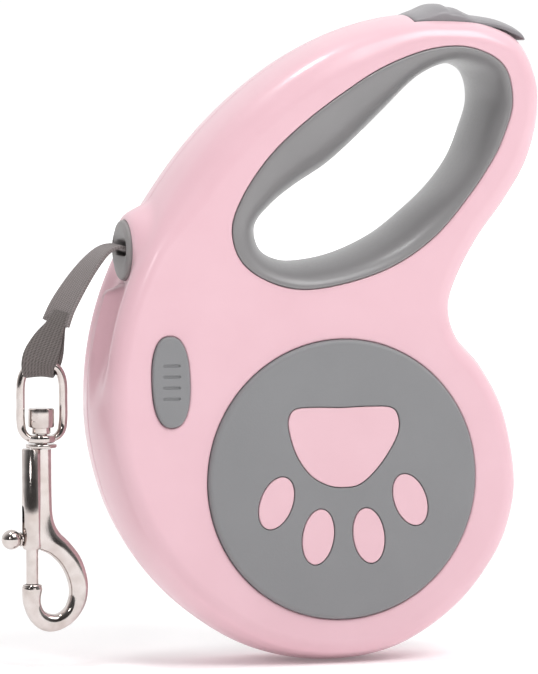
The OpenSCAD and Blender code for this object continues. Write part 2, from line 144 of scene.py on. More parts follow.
def closed_curve(points: Sequence[Sequence[float]], steps: int) -> list[Vector]:
    """A closed smooth curve through the points.

    Args:
        points: The points that the shape needs, in order.
        steps: How many pieces each span is cut into.

    Returns:
        The curve's points, of the same dimension as those given.
    """
    p = [Vector(q) for q in points]
    m = len(p)
    return [
        catmull(p[i - 1], p[i], p[(i + 1) % m], p[(i + 2) % m], k / steps)
        for i in range(m)
        for k in range(steps)
    ]


def open_curve(points: Sequence[Sequence[float]], steps: int) -> list[Vector]:
    """An open smooth curve through the points, both ends included.

    Args:
        points: The points that the shape needs, in order.
        steps: How many pieces each span is cut into.

    Returns:
        The curve's points, of the same dimension as those given.
    """
    p = [Vector(q) for q in points]
    last = len(p) - 1
    curve = [
        catmull(p[max(i - 1, 0)], p[i], p[i + 1], p[min(i + 2, last)], k / steps)
        for i in range(last)
        for k in range(steps)
    ]
    return curve + [p[last]]


def grown(loop: Loop2, by: float) -> Loop2:
    """Moves a loop outwards.

    Args:
        loop: A counterclockwise loop.
        by: How far it moves, and below zero for inwards.

    Returns:
        The moved loop, point for point.
    """
    n = len(loop)
    moved = []
    for i in range(n):
        along = loop[(i + 1) % n] - loop[i - 1]
        moved.append(loop[i] + Vector((along.y, -along.x)).normalized() * by)
    return moved


def circle(radius: float, n: int, at: Point2 = (0.0, 0.0)) -> Loop2:
    """A round loop."""
    return ellipse(radius, radius, n, at)


def ellipse(a: float, b: float, n: int, at: Point2 = (0.0, 0.0), tilt: float = 0.0) -> Loop2:
    """An oval loop.

    Args:
        a: Half width before it is turned.
        b: Half height before it is turned.
        n: Number of points.
        at: Its middle.
        tilt: Degrees that it is turned by, counterclockwise from the front.

    Returns:
        The loop, counterclockwise.
    """
    c, s = math.cos(math.radians(tilt)), math.sin(math.radians(tilt))
    loop = []
    for i in range(n):
        t = math.tau * i / n
        x, z = a * math.cos(t), b * math.sin(t)
        loop.append(Vector((at[0] + x * c - z * s, at[1] + x * s + z * c)))
    return loop


def stadium(
    half_w: float, half_h: float, n: int, at: Point2 = (0.0, 0.0), power: float = 0.35,
    tilt: float = 0.0,
) -> Loop2:
    """A loop between an oval and a rectangle.

    Args:
        half_w: Half width before it is turned.
        half_h: Half height before it is turned.
        n: Number of points.
        at: Its middle.
        power: 1 for an oval, and lower for squarer shapes.
        tilt: Degrees that it is turned by, counterclockwise from the front.

    Returns:
        The loop, counterclockwise.
    """
    turn_c, turn_s = math.cos(math.radians(tilt)), math.sin(math.radians(tilt))
    loop = []
    for i in range(n):
        t = math.tau * (i + 0.5) / n
        c, s = math.cos(t), math.sin(t)
        x = math.copysign(abs(c) ** power, c) * half_w
        z = math.copysign(abs(s) ** power, s) * half_h
        loop.append(Vector((at[0] + x * turn_c - z * turn_s, at[1] + x * turn_s + z * turn_c)))
    return loop


def smoothstep(low: float, high: float, value: float) -> float:
    """0 at low, 1 at high, smooth between and level past both; high may be the lower number."""
    t = min(max((value - low) / (high - low), 0.0), 1.0)
    return t * t * (3 - 2 * t)


def plateau(spans: Sequence[float], value: float) -> float:
    """Rises from 0 to 1 between the first two numbers and falls to 0 between the last two."""
    start, full, waning, end = spans
    return smoothstep(start, full, value) * smoothstep(end, waning, value)


# ---------------------------------------------------------------- outlines

CASE_OUTLINE = (
    (53.6, 1), (50.2, 18), (43.6, 30.5), (36.6, 38.6), (34.3, 46.5), (36.6, 54.5), (42.5, 65),
    (50, 75), (56.6, 86), (60, 98.5), (59.6, 110), (54.2, 121), (44, 126.2), (32, 127.5),
    (18, 126.8), (3.3, 122.9), (-11.6, 115.7), (-25.3, 105.8), (-37.5, 94), (-47.5, 81.2),
    (-56.2, 67.2), (-63, 52), (-66.8, 37), (-67.9, 22), (-66.3, 7), (-61, -9.5), (-51.4, -25),
    (-38.5, -37.5), (-21.8, -47.2), (-2, -51.2), (18.2, -48.5), (35.8, -38), (47.6, -23.6),
    (52.6, -11),
)
MOUTH_OUTLINE = (
    (46.4, 92.8), (49.4, 103.2), (46.8, 113.4), (37.2, 118.4), (25.4, 118), (12, 113.2),
    (0.5, 106.3), (-10.5, 98.4), (-20.5, 89.3), (-28, 79), (-31.6, 69.5), (-29.2, 60.6),
    (-21.5, 54.8), (-10.5, 52.3), (4, 54.6), (16.5, 59.3), (27.5, 67), (36.5, 77.2), (42.5, 85.6),
)
RIDGE_OUTLINE = (
    (41.2, 94.8), (44, 104.2), (41.8, 111.6), (34, 113.8), (24.8, 109.8), (15.5, 100.6),
    (7.2, 92.6), (-0.6, 86), (-9.6, 80.4), (-16.6, 75.2), (-21.4, 69.6), (-19.8, 63),
    (-13, 59.8), (-4.3, 60), (5.5, 62.4), (16, 67.4), (24.6, 73.9), (32.6, 80.6), (38.2, 87.4),
)
# the paw's pad, and for each toe its middle, half width, half height and tilt in degrees
PAD_OUTLINE = (
    (15.9, 17.2), (13.6, 19.8), (7, 20.2), (-0.5, 20), (-8, 20.2), (-13.9, 19.8), (-16, 17),
    (-15.6, 12.5), (-13.5, 6.6), (-9.6, 1.3), (-4.6, -1.6), (0.2, -2.3), (4.8, -1.5), (9.4, 2.3),
    (13.4, 7.6), (15.9, 12.7),
)
TOES = (
    ((-19.3, -6.0), 4.8, 7.7, -22.0), ((19.3, -6.0), 4.8, 7.7, 22.0),
    ((-7.3, -15.6), 4.7, 7.9, -9.0), ((7.3, -15.6), 4.7, 7.9, 9.0),
)
OVAL_AT = (-49.0, 27.7)    # middle of the oval badge
OVAL_HALF = (5.3, 12.4)
OVAL_TILT = 2.0        # degrees
OVAL_POWER = 0.82      # a little squarer than a true oval
GROMMET_X = -56.6      # where the grommet's flange meets the casing
GROMMET_Z = 63.0
CORNER = math.pi / 2   # a rounded edge turns by this much
FACE_POINTS = 160      # round the badge's seat and the badge
SCREWS = ((4.6, 115.9), (-36.8, 81.2), (-54.0, 4.0), (37.6, -22.0), (-22.4, -37.4), (42.0, 11.4))


# ---------------------------------------------------------------- colours and finishes


def linear(hex_colour: str) -> Colour:
    """Turns an sRGB colour into the linear one that a shader reads.

    Args:
        hex_colour: The colour as #rrggbb.

    Returns:
        Linear red, green, blue and alpha.
    """
    parts = [int(hex_colour[i : i + 2], 16) / 255 for i in (1, 3, 5)]
    r, g, b = (c / 12.92 if c <= 0.04045 else ((c + 0.055) / 1.055) ** 2.4 for c in parts)
    return (r, g, b, 1.0)


class NodeTree:
    """The node tree of a material or a world, with one function that adds a node."""

    def __init__(self, owner: bpy.types.Material | bpy.types.World) -> None:
        """Starts an empty tree.

        Args:
            owner: The new material or world that it belongs to.
        """
        self.owner = owner
        owner.use_nodes = True
        self.tree = owner.node_tree
        self.tree.nodes.clear()

    def add(
        self, kind: str, settings: Optional[dict] = None, stops: Sequence[tuple[float, Colour]] = (),
        **inputs: object,
    ) -> bpy.types.Node:
        """Adds a node.

        Args:
            kind: The node's type name.
            settings: Properties to set on the node.
            stops: Places and colours along its ramp, if it has one.
            **inputs: Values or output sockets for its inputs, with _ for a space in the name,
                or i0, i1 and so on for an input by its number.

        Returns:
            The new node.
        """
        node = self.tree.nodes.new(kind)
        for key, value in (settings or {}).items():
            setattr(node, key, value)
        if stops:
            elements = node.color_ramp.elements
            elements[0].position, elements[-1].position = stops[0][0], stops[-1][0]
            for position, _ in stops[1:-1]:
                elements.new(position)
            for element, (_, colour) in zip(elements, stops):
                element.color = colour
        for key, value in inputs.items():
            by_number = key[0] == "i" and key[1:].isdigit()
            socket = node.inputs[int(key[1:]) if by_number else key.replace("_", " ")]
            if isinstance(value, bpy.types.NodeSocket):
                self.tree.links.new(value, socket)
            else:
                socket.default_value = value
        return node

    def finish(
        self, shader: bpy.types.Node, output: str = "ShaderNodeOutputMaterial"
    ) -> bpy.types.Material | bpy.types.World:
        """Links the shader to an output node of that kind and returns the tree's owner."""
        self.add(output, Surface=shader.outputs[0])
        return self.owner


@dataclass(frozen=True)
class MouldedPlastic:
    """A moulded plastic or rubber skin: two close tones, spark-eroded grain, slow mould waviness."""

    name: str
    tone: str                    # main colour
    tone_low: str                # colour of the faint darker patches
    roughness: float             # middle roughness
    roughness_spread: float = 0.05
    grain_mm: float = 0.5        # size of the grain that shows
    grain_depth: float = 0.02    # bump height of the grain, in millimetres
    wave_mm: float = 24.0        # size of the slow waves left by shrinkage
    wave_depth: float = 0.05
    coat: float = 0.0            # share of clear gloss over the skin
    coat_roughness: float = 0.15
    sheen: float = 0.0           # soft-touch bloom
    ior: float = 1.5
    patch_mm: float = 18.0       # size of the darker patches

    def build(self) -> bpy.types.Material:
        """Makes the material.

        Returns:
            The material.
        """
        tree = NodeTree(bpy.data.materials.new(self.name))
        where = tree.add("ShaderNodeTexCoord").outputs["Object"]
        patches = tree.add(
            "ShaderNodeTexNoise", Vector=where, Scale=1 / (self.patch_mm * MM), Detail=3.0
        )
        grain = tree.add(
            "ShaderNodeTexNoise", Vector=where, Scale=1 / (self.grain_mm * MM), Detail=2.0
        )
        waves = tree.add(
            "ShaderNodeTexNoise", Vector=where, Scale=1 / (self.wave_mm * MM), Detail=1.0
        )
        colour = tree.add(
            "ShaderNodeValToRGB", stops=((0.3, linear(self.tone_low)), (0.7, linear(self.tone))),
            Fac=patches.outputs["Fac"],
        )
        rough = tree.add(
            "ShaderNodeMapRange", Value=grain.outputs["Fac"], From_Min=0.3, From_Max=0.7,
            To_Min=self.roughness - self.roughness_spread,
            To_Max=self.roughness + self.roughness_spread,
        )
        wave_bump = tree.add(
            "ShaderNodeBump", Height=waves.outputs["Fac"], Strength=1.0,
            Distance=self.wave_depth * MM,
        )
        bump = tree.add(
            "ShaderNodeBump", Height=grain.outputs["Fac"], Strength=1.0,
            Distance=self.grain_depth * MM, Normal=wave_bump.outputs[0],
        )
        shader = tree.add(
            "ShaderNodeBsdfPrincipled", Base_Color=colour.outputs[0], Roughness=rough.outputs[0],
            Normal=bump.outputs[0], IOR=self.ior, Coat_Weight=self.coat,
            Coat_Roughness=self.coat_roughness, Sheen_Weight=self.sheen, Sheen_Roughness=0.5,
        )
        return tree.finish(shader)


@dataclass(frozen=True)
class PlatedMetal:
    """A polished or drawn metal: bright, with faint handling smears and fine casting waves."""

    name: str
    tone: str
    tone_low: str
    roughness: float
    smear: float = 0.06          # how much rougher the smears are
    wave_mm: float = 5.0
    wave_depth: float = 0.03
    scratch_depth: float = 0.002
    smear_mm: float = 4.0        # size of the smears
    scratch_mm: float = 0.4      # size of the finest marks that show

    def build(self) -> bpy.types.Material:
        """Makes the material.

        Returns:
            The material.
        """
        tree = NodeTree(bpy.data.materials.new(self.name))
        where = tree.add("ShaderNodeTexCoord").outputs["Object"]
        smears = tree.add(
            "ShaderNodeTexNoise", Vector=where, Scale=1 / (self.smear_mm * MM), Detail=4.0
        )
        waves = tree.add(
            "ShaderNodeTexNoise", Vector=where, Scale=1 / (self.wave_mm * MM), Detail=1.0
        )
        scratches = tree.add(
            "ShaderNodeTexNoise", Vector=where, Scale=1 / (self.scratch_mm * MM), Detail=3.0
        )
        colour = tree.add(
            "ShaderNodeValToRGB", stops=((0.3, linear(self.tone_low)), (0.7, linear(self.tone))),
            Fac=smears.outputs["Fac"],
        )
        rough = tree.add(
            "ShaderNodeMapRange", Value=smears.outputs["Fac"], From_Min=0.4, From_Max=0.75,
            To_Min=self.roughness, To_Max=self.roughness + self.smear,
        )
        wave_bump = tree.add(
            "ShaderNodeBump", Height=waves.outputs["Fac"], Strength=1.0,
            Distance=self.wave_depth * MM,
        )
        bump = tree.add(
            "ShaderNodeBump", Height=scratches.outputs["Fac"], Strength=1.0,
            Distance=self.scratch_depth * MM, Normal=wave_bump.outputs[0],
        )
        shader = tree.add(
            "ShaderNodeBsdfPrincipled", Base_Color=colour.outputs[0], Roughness=rough.outputs[0],
            Normal=bump.outputs[0], Metallic=1.0,
        )
        return tree.finish(shader)


# polyester fibre: dull, with a soft bloom at grazing angles
WEBBING_SURFACE = {
    "Roughness": 0.85, "Sheen_Weight": 0.25, "Sheen_Roughness": 0.4, "Specular_IOR_Level": 0.25,
}


@dataclass(frozen=True)
class WovenTape:
    """Polyester webbing: warp ribs along the tape crossed by weft, from the tape's UV map in mm."""

    name: str = "polyester_webbing"
    tone: str = "#8d8584"
    # colour of the darker fuzz, and painted shade in the weave's hollows
    tone_low: str = "#6f6766"
    rib_mm: float = 0.9          # spacing of the warp ribs; the real 0.5 mm is too fine to show
    pick_mm: float = 0.8         # spacing of the weft picks
    depth: float = 0.12
    fibre_mm: float = 1 / 3      # size of the fuzz between the ribs
    fibre_share: float = 0.6     # how much the fuzz mixes into the colour

    def build(self) -> bpy.types.Material:
        """Makes the material.

        Returns:
            The material.
        """
        tree = NodeTree(bpy.data.materials.new(self.name))
        uv = tree.add("ShaderNodeUVMap", {"uv_map": "tape"}).outputs[0]
        split = tree.add("ShaderNodeSeparateXYZ", Vector=uv)
        across = tree.add(
            "ShaderNodeMath", {"operation": "MULTIPLY"}, i0=split.outputs[0],
            i1=math.tau / self.rib_mm,
        )
        along = tree.add(
            "ShaderNodeMath", {"operation": "MULTIPLY"}, i0=split.outputs[1],
            i1=math.tau / self.pick_mm,
        )
        slant = tree.add(
            "ShaderNodeMath", {"operation": "ADD"}, i0=across.outputs[0], i1=along.outputs[0]
        )
        rib = tree.add("ShaderNodeMath", {"operation": "SINE"}, i0=across.outputs[0])
        twill = tree.add("ShaderNodeMath", {"operation": "SINE"}, i0=slant.outputs[0])
        weave = tree.add(
            "ShaderNodeMath", {"operation": "ADD"}, i0=rib.outputs[0], i1=twill.outputs[0]
        )
        height = tree.add(
            "ShaderNodeMapRange", Value=weave.outputs[0], From_Min=-2.0, From_Max=2.0
        )
        fibres = tree.add("ShaderNodeTexNoise", Vector=uv, Scale=1 / self.fibre_mm, Detail=4.0)
        # the colour darkens with the weave's height: painted shade in the hollows between ribs and picks,
        # mixed with the fuzz's own random tone
        mixed = tree.add(
            "ShaderNodeMath", {"operation": "MULTIPLY_ADD"}, i0=fibres.outputs["Fac"],
            i1=self.fibre_share, i2=height.outputs[0],
        )
        colour = tree.add(
            "ShaderNodeValToRGB", stops=((0.35, linear(self.tone_low)), (1.0, linear(self.tone))),
            Fac=mixed.outputs[0],
        )
        bump = tree.add(
            "ShaderNodeBump", Height=height.outputs[0], Strength=1.0, Distance=self.depth * MM
        )
        shader = tree.add(
            "ShaderNodeBsdfPrincipled", Base_Color=colour.outputs[0], Normal=bump.outputs[0],
            **WEBBING_SURFACE,
        )
        return tree.finish(shader)


@dataclass(frozen=True)
class WoundTape:
    """Webbing wound on the spool: its turns show as fine rings about the axle."""

    name: str = "wound_polyester_webbing"
    tone: str = "#8d8584"
    # colour in the grooves between turns: painted shade
    tone_low: str = "#6f6766"
    turn_mm: float = 1.2         # one thickness of the tape
    depth: float = 0.2

    def build(self) -> bpy.types.Material:
        """Makes the material.

        Returns:
            The material.
        """
        tree = NodeTree(bpy.data.materials.new(self.name))
        where = tree.add("ShaderNodeTexCoord").outputs["Object"]
        from_axle = tree.add("ShaderNodeVectorMath", {"operation": "SUBTRACT"}, i0=where, i1=AXIS)
        flat = tree.add(
            "ShaderNodeVectorMath", {"operation": "MULTIPLY"}, i0=from_axle.outputs[0],
            i1=(1, 0, 1),
        )
        radius = tree.add("ShaderNodeVectorMath", {"operation": "LENGTH"}, i0=flat.outputs[0])
        phase = tree.add(
            "ShaderNodeMath", {"operation": "MULTIPLY"}, i0=radius.outputs["Value"],
            i1=math.tau / (self.turn_mm * MM),
        )
        turns = tree.add("ShaderNodeMath", {"operation": "SINE"}, i0=phase.outputs[0])
        height = tree.add(
            "ShaderNodeMapRange", Value=turns.outputs[0], From_Min=-1.0, From_Max=1.0
        )
        # darker in the grooves between the turns: painted shade
        colour = tree.add(
            "ShaderNodeValToRGB", stops=((0.3, linear(self.tone_low)), (0.7, linear(self.tone))),
            Fac=height.outputs[0],
        )
        bump = tree.add(
            "ShaderNodeBump", Height=height.outputs[0], Strength=1.0, Distance=self.depth * MM
        )
        shader = tree.add(
            "ShaderNodeBsdfPrincipled", Base_Color=colour.outputs[0], Normal=bump.outputs[0],
            **WEBBING_SURFACE,
        )
        return tree.finish(shader)


Finish = MouldedPlastic | PlatedMetal | WovenTape | WoundTape

# What each skin is, how it was made and what the eye gets from it.
FINISHES: dict[str, Finish] = {
    # ABS, injection-moulded in a polished tool: fine satin gloss with a sharp streak on the crest
    "shell_pink": MouldedPlastic(
        "moulded_abs_pink", "#e8bec8", "#e5bac4", roughness=0.34, roughness_spread=0.02,
        grain_mm=0.9, grain_depth=0.006, wave_mm=30, wave_depth=0.04, coat=0.4, coat_roughness=0.16,
    ),
    # soft TPE inlay, a shade duller than the shell
    "inlay_pink": MouldedPlastic(
        "moulded_tpe_pink", "#e7bfc8", "#e4bbc4", roughness=0.55, grain_mm=0.6
    ),
    # overmoulded TPR: smooth satin grey with a soft sheen
    "soft_grey": MouldedPlastic(
        "overmoulded_tpr_grey", "#878586", "#838182", roughness=0.36, roughness_spread=0.04,
        grain_mm=0.8, grain_depth=0.015, wave_mm=22, coat=0.25, coat_roughness=0.25, sheen=0.05,
    ),
    # soft-touch TPE, eroded tool: an even dull face
    "badge_grey": MouldedPlastic(
        "moulded_tpe_grey", "#88888a", "#858587", roughness=0.58, grain_depth=0.03
    ),
    # satin ABS: duller than the shell, with a soft highlight along the hump
    "button_grey": MouldedPlastic(
        "moulded_abs_grey", "#939093", "#8e8b8e", roughness=0.38, roughness_spread=0.04,
        grain_mm=0.7, grain_depth=0.012, wave_mm=18,
    ),
    # moulded acetal, naturally slippery: an even, waxy half gloss
    "grommet_grey": MouldedPlastic(
        "moulded_acetal_grey", "#8f8b8b", "#898585", roughness=0.45, roughness_spread=0.04,
        grain_mm=0.6, grain_depth=0.012,
    ),
    # narrow-woven polyester: dull, with ribs that run along it
    "tape_grey": WovenTape(),
    # the folded end, a darker copy of the same webbing: painted shade for the shadow in the fold
    "tape_fold": WovenTape("handled_polyester_webbing", "#736c6a", "#554f4d"),
    # the same webbing edge-on, turn upon turn
    "tape_coil": WoundTape(),
    # bright nickel over die-cast zinc: mirror-like, softened by the casting's waves
    "nickel": PlatedMetal(
        "nickel_plated_zinc", "#d5cdca", "#bdb2ad", roughness=0.11, smear=0.07, wave_mm=7.0,
        wave_depth=0.02,
    ),
    # drawn and ground steel: a cool, brushed half gloss
    "steel": PlatedMetal(
        "drawn_steel", "#c6c7c9", "#b2b3b5", roughness=0.28, smear=0.08, wave_mm=3.0,
        wave_depth=0.01, scratch_depth=0.006,
    ),
    # blued spring steel: dark and slightly blue
    "spring_steel": PlatedMetal(
        "blued_spring_steel", "#6d7686", "#59606e", roughness=0.30, wave_mm=3.0, wave_depth=0.01
    ),
    # glass-filled nylon: black with a dry, cloudy skin
    "spool_black": MouldedPlastic(
        "glass_filled_nylon_black", "#2a2a2c", "#1f1f21", roughness=0.52, roughness_spread=0.08,
        grain_mm=0.6, grain_depth=0.04,
    ),
    # moulded acetal: waxy red
    "ratchet_red": MouldedPlastic(
        "moulded_acetal_red", "#a8322c", "#972a25", roughness=0.42, grain_mm=0.6
    ),
    # uncoloured acetal: waxy, slightly warm white
    "acetal_white": MouldedPlastic(
        "moulded_acetal_white", "#ecebe6", "#e2e1db", roughness=0.40, grain_mm=0.6
    ),
}


# ---------------------------------------------------------------- mesh tools


class Cage:
    """A mesh under construction, in millimetres from the spool's axis."""

    def __init__(self) -> None:
        """Starts an empty cage."""
        self.bm = bmesh.new()

    def ring(self, points: Sequence[Sequence[float]]) -> Ring:
        """Adds a loop of vertices and returns them."""
        return [self.bm.verts.new(Vector(p)) for p in points]

    def flat_ring(self, loop: Loop2, y: float) -> Ring:
        """Adds an outline's loop at a depth y and returns its vertices."""
        return self.ring([(q.x, y, q.y) for q in loop])

    def bridge(self, a: Ring, b: Ring) -> None:
        """Joins two loops of equal length with quads.

        Args:
            a: One closed loop of vertices.
            b: The other, point for point.
        """
        for i in range(len(a)):
            j = (i + 1) % len(a)
            self.bm.faces.new((a[i], a[j], b[j], b[i]))

    def chain(self, rings: Sequence[Ring]) -> None:
        """Bridges each ring to the next."""
        for a, b in zip(rings, rings[1:]):
            self.bridge(a, b)

    def cap(self, ring: Ring) -> None:
        """Closes a loop with a fan from its middle.

        Args:
            ring: The loop's vertices.
        """
        middle = self.bm.verts.new(sum((v.co for v in ring), Vector()) / len(ring))
        n = len(ring)
        for i in range(n):
            self.bm.faces.new((ring[i], ring[(i + 1) % n], middle))

    def fill(self, *rings: Ring) -> None:
        """Fills the flat space between an outer loop and the loops inside it.

        Args:
            *rings: The outer loop's vertices, then those of each loop inside it.
        """
        edges = []
        for ring in rings:
            for i in range(len(ring)):
                pair = (ring[i - 1], ring[i])
                edges.append(self.bm.edges.get(pair) or self.bm.edges.new(pair))
        bmesh.ops.triangle_fill(self.bm, edges=edges, use_beauty=True, use_dissolve=False)

    def solid(self, name: str, sharp: float = SHARP) -> bpy.types.Object:
        """Turns the cage into an object in the frame, and uses the cage up.

        Args:
            name: The object's name.
            sharp: Edges that bend by more degrees than this are drawn sharp.

        Returns:
            The object, at the origin, with its place in its mesh.
        """
        bmesh.ops.recalc_face_normals(self.bm, faces=self.bm.faces)
        mesh = bpy.data.meshes.new(name)
        self.bm.to_mesh(mesh)
        self.bm.free()
        mesh.transform(Matrix.Translation(AXIS) @ Matrix.Scale(MM, 4))
        obj = bpy.data.objects.new(name, mesh)
        bpy.context.scene.collection.objects.link(obj)
        smooth(obj, sharp)
        return obj


def smooth(obj: bpy.types.Object, sharp: float) -> None:
    """Shades an object smooth, with edges that bend by more than sharp degrees kept crisp."""
    obj.data.shade_smooth()
    obj.data.set_sharp_from_angle(angle=math.radians(sharp))


def add_modifier(obj: bpy.types.Object, kind: str, **settings: object) -> bpy.types.Modifier:
    """Adds a modifier to an object.

    Args:
        obj: The object.
        kind: The modifier's type name.
        **settings: Properties to set on it.

    Returns:
        The modifier.
    """
    modifier = obj.modifiers.new(kind.lower(), kind)
    for key, value in settings.items():
        setattr(modifier, key, value)
    return modifier


def apply_modifiers(obj: bpy.types.Object) -> None:
    """Bakes an object's modifier stack into its mesh.

    Args:
        obj: The object, which keeps its name.
    """
    graph = bpy.context.evaluated_depsgraph_get()
    baked = bpy.data.meshes.new_from_object(obj.evaluated_get(graph))
    obj.modifiers.clear()
    obj.data = baked


def cut(obj: bpy.types.Object, cutters: Sequence[bpy.types.Object], sharp: float = SHARP) -> None:
    """Cuts closed shapes out of an object and removes them.

    Args:
        obj: The object that loses material.
        cutters: The closed shapes to cut with.
        sharp: Passed on to the shading of the result.
    """
    for cutter in cutters:
        add_modifier(obj, "BOOLEAN", object=cutter, operation="DIFFERENCE", solver="MANIFOLD")
    apply_modifiers(obj)
    for cutter in cutters:
        bpy.data.objects.remove(cutter)
    bm = bmesh.new()
    bm.from_mesh(obj.data)
    bmesh.ops.remove_doubles(bm, verts=bm.verts, dist=SLIVER)
    bmesh.ops.dissolve_degenerate(bm, edges=bm.edges, dist=SLIVER)
    bm.to_mesh(obj.data)
    bm.free()
    smooth(obj, sharp)


def join(name: str, parts: Sequence[bpy.types.Object]) -> bpy.types.Object:
    """Joins finished meshes into one object.

    Args:
        name: The name of the whole.
        parts: Objects at the origin, which are used up.

    Returns:
        The joined object.
    """
    bm = bmesh.new()
    for part in parts:
        bm.from_mesh(part.data)
    mesh = bpy.data.meshes.new(name)
    bm.to_mesh(mesh)
    bm.free()
    for part in parts:
        bpy.data.objects.remove(part)
    obj = bpy.data.objects.new(name, mesh)
    bpy.context.scene.collection.objects.link(obj)
    return obj


def turned(
    name: str, profile: Sequence[Point2], at: Sequence[float], towards: Sequence[float] = (0, 0, 1),
    steps: int = 48,
) -> bpy.types.Object:
    """A turned shape, made with a Screw at the origin and then put in its place.

    Args:
        name: The object's name.
        profile: (radius, height) from top to bottom, in millimetres.
        at: Where its foot goes, from the spool's axis.
        towards: The direction of its axis.
        steps: Segments round the axis.

    Returns:
        The object, at the origin, with its place in its mesh.
    """
    mesh = bpy.data.meshes.new(name)
    points = [(max(r, 0.0) * MM, 0.0, h * MM) for r, h in profile]
    mesh.from_pydata(points, [(i, i + 1) for i in range(len(points) - 1)], [])
    obj = bpy.data.objects.new(name, mesh)
    bpy.context.scene.collection.objects.link(obj)
    add_modifier(
        obj, "SCREW", axis="Z", steps=steps, render_steps=steps, use_merge_vertices=True,
        merge_threshold=SEAM, use_smooth_shade=True,
    )
    apply_modifiers(obj)
    bm = bmesh.new()
    bm.from_mesh(obj.data)
    bmesh.ops.remove_doubles(bm, verts=bm.verts, dist=SEAM)
    bmesh.ops.recalc_face_normals(bm, faces=bm.faces)
    bm.to_mesh(obj.data)
    bm.free()
    turn = Vector((0, 0, 1)).rotation_difference(Vector(towards)).to_matrix().to_4x4()
    obj.data.transform(Matrix.Translation(place(*at)) @ turn)
    smooth(obj, 40)
    return obj


def rounded(r: float, low: float, high: float, edge: float, steps: int = 4) -> list[Point2]:
    """The profile of a rod with rounded ends.

    Args:
        r: Its radius.
        low: The height of its foot.
        high: The height of its top.
        edge: The radius of its rounded edges.
        steps: How many pieces each rounded edge is cut into.

    Returns:
        (radius, height) from top to bottom, closed on the axis.
    """
    arc = [CORNER * k / steps for k in range(steps + 1)]
    top = [(r - edge + edge * math.sin(a), high - edge + edge * math.cos(a)) for a in arc]
    foot = [(r - edge + edge * math.cos(a), low + edge - edge * math.sin(a)) for a in arc]
    return [(0.0, high)] + top + foot + [(0.0, low)]


def washer(r: float, hole: float, low: float, high: float, edge: float) -> list[Point2]:
    """The closed profile of a rounded ring.

    Args:
        r: Its outer radius.
        hole: The radius of its hole.
        low: The height of its underside.
        high: The height of its top.
        edge: The radius of its rounded edges.

    Returns:
        (radius, height) round the section, with the first point again at the end.
    """
    steps = 3
    arc = [CORNER * k / steps for k in range(steps + 1)]
    outer_top = [(r - edge + edge * math.sin(a), high - edge + edge * math.cos(a)) for a in arc]
    outer_foot = [(r - edge + edge * math.cos(a), low + edge - edge * math.sin(a)) for a in arc]
    inner_foot = [(hole + edge - edge * math.sin(a), low + edge - edge * math.cos(a)) for a in arc]
    inner_top = [(hole + edge - edge * math.cos(a), high - edge + edge * math.sin(a)) for a in arc]
    profile = outer_top + outer_foot + inner_foot + inner_top
    return profile + [profile[0]]


def rod(
    name: str, r: float, at: Sequence[float], towards: Sequence[float], length: float
) -> bpy.types.Object:
    """A plain cutter: a round rod from a place towards a direction."""
    return turned(name, [(0, length), (r, length), (r, 0), (0, 0)], at, towards, 64)


class Dresser:
    """Gives pieces their finish, chosen by slot, and their body, and hides the CAD nodes they stand for.
    """

    def __init__(self) -> None:
        """Builds every finish once."""
        self.materials = {key: finish.build() for key, finish in FINISHES.items()}
        self.node_slots = {row["node"]: row["material_slot"] for row in frame["record"]["subparts"]}

    def dress(
        self, obj: bpy.types.Object, body: str, slot: str, nodes: Sequence[str] = (), finish: str = ""
    ) -> bpy.types.Object:
        """Finishes a new piece.

        Args:
            obj: The piece.
            body: The CAD body that it rides on.
            slot: The record's material slot, which also names its finish.
            nodes: The CAD nodes that it stands for.
            finish: Its finish, where that isn't the slot's own.

        Returns:
            The same piece.
        """
        obj.data.materials.clear()
        obj.data.materials.append(self.materials[finish or slot])
        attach(obj, body)
        if nodes:
            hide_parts(*nodes)
        LOG.info("%s rides on %s as %s", obj.name, body, slot)
        return obj

    def dress_node(self, name: str, finish: str = "") -> None:
        """Dresses a CAD node that stays on show.

        Args:
            name: The node's name.
            finish: Its finish, where that isn't its slot's own.
        """
        skin = finish or self.node_slots[name]
        obj = frame["nodes"][name]
        obj.data.materials.clear()
        obj.data.materials.append(self.materials[skin])
        LOG.info("%s keeps its shape as %s", name, skin)


# ---------------------------------------------------------------- flat plates with rounded edges


@dataclass
class Pocket:
    """A sunk shape in a flat face: its loop, its depth and the radius of its rim."""

    loop: Loop2
    depth: float
    rim: float = 0.25
    shoulder: float = 2.2        # the flat ring round it, in rims

    def sink(self, cage: Cage, face_y: float, inward: float) -> Ring:
        """Builds the pocket's rim, wall and floor.

        Args:
            cage: The mesh that it goes into.
            face_y: Where the flat face lies.
            inward: The sign of y that points into the material.

        Returns:
            The loop that the face is filled up to.
        """
        steps = 3
        rings = [cage.flat_ring(grown(self.loop, self.rim * self.shoulder), face_y)]
        for k in range(steps + 1):
            a = CORNER * k / steps
            y = face_y + inward * self.rim * (1 - math.cos(a))
            rings.append(cage.flat_ring(grown(self.loop, self.rim * (1 - math.sin(a))), y))
        rings.append(cage.flat_ring(self.loop, face_y + inward * self.depth))
        cage.chain(rings)
        cage.fill(rings[-1])
        return rings[0]


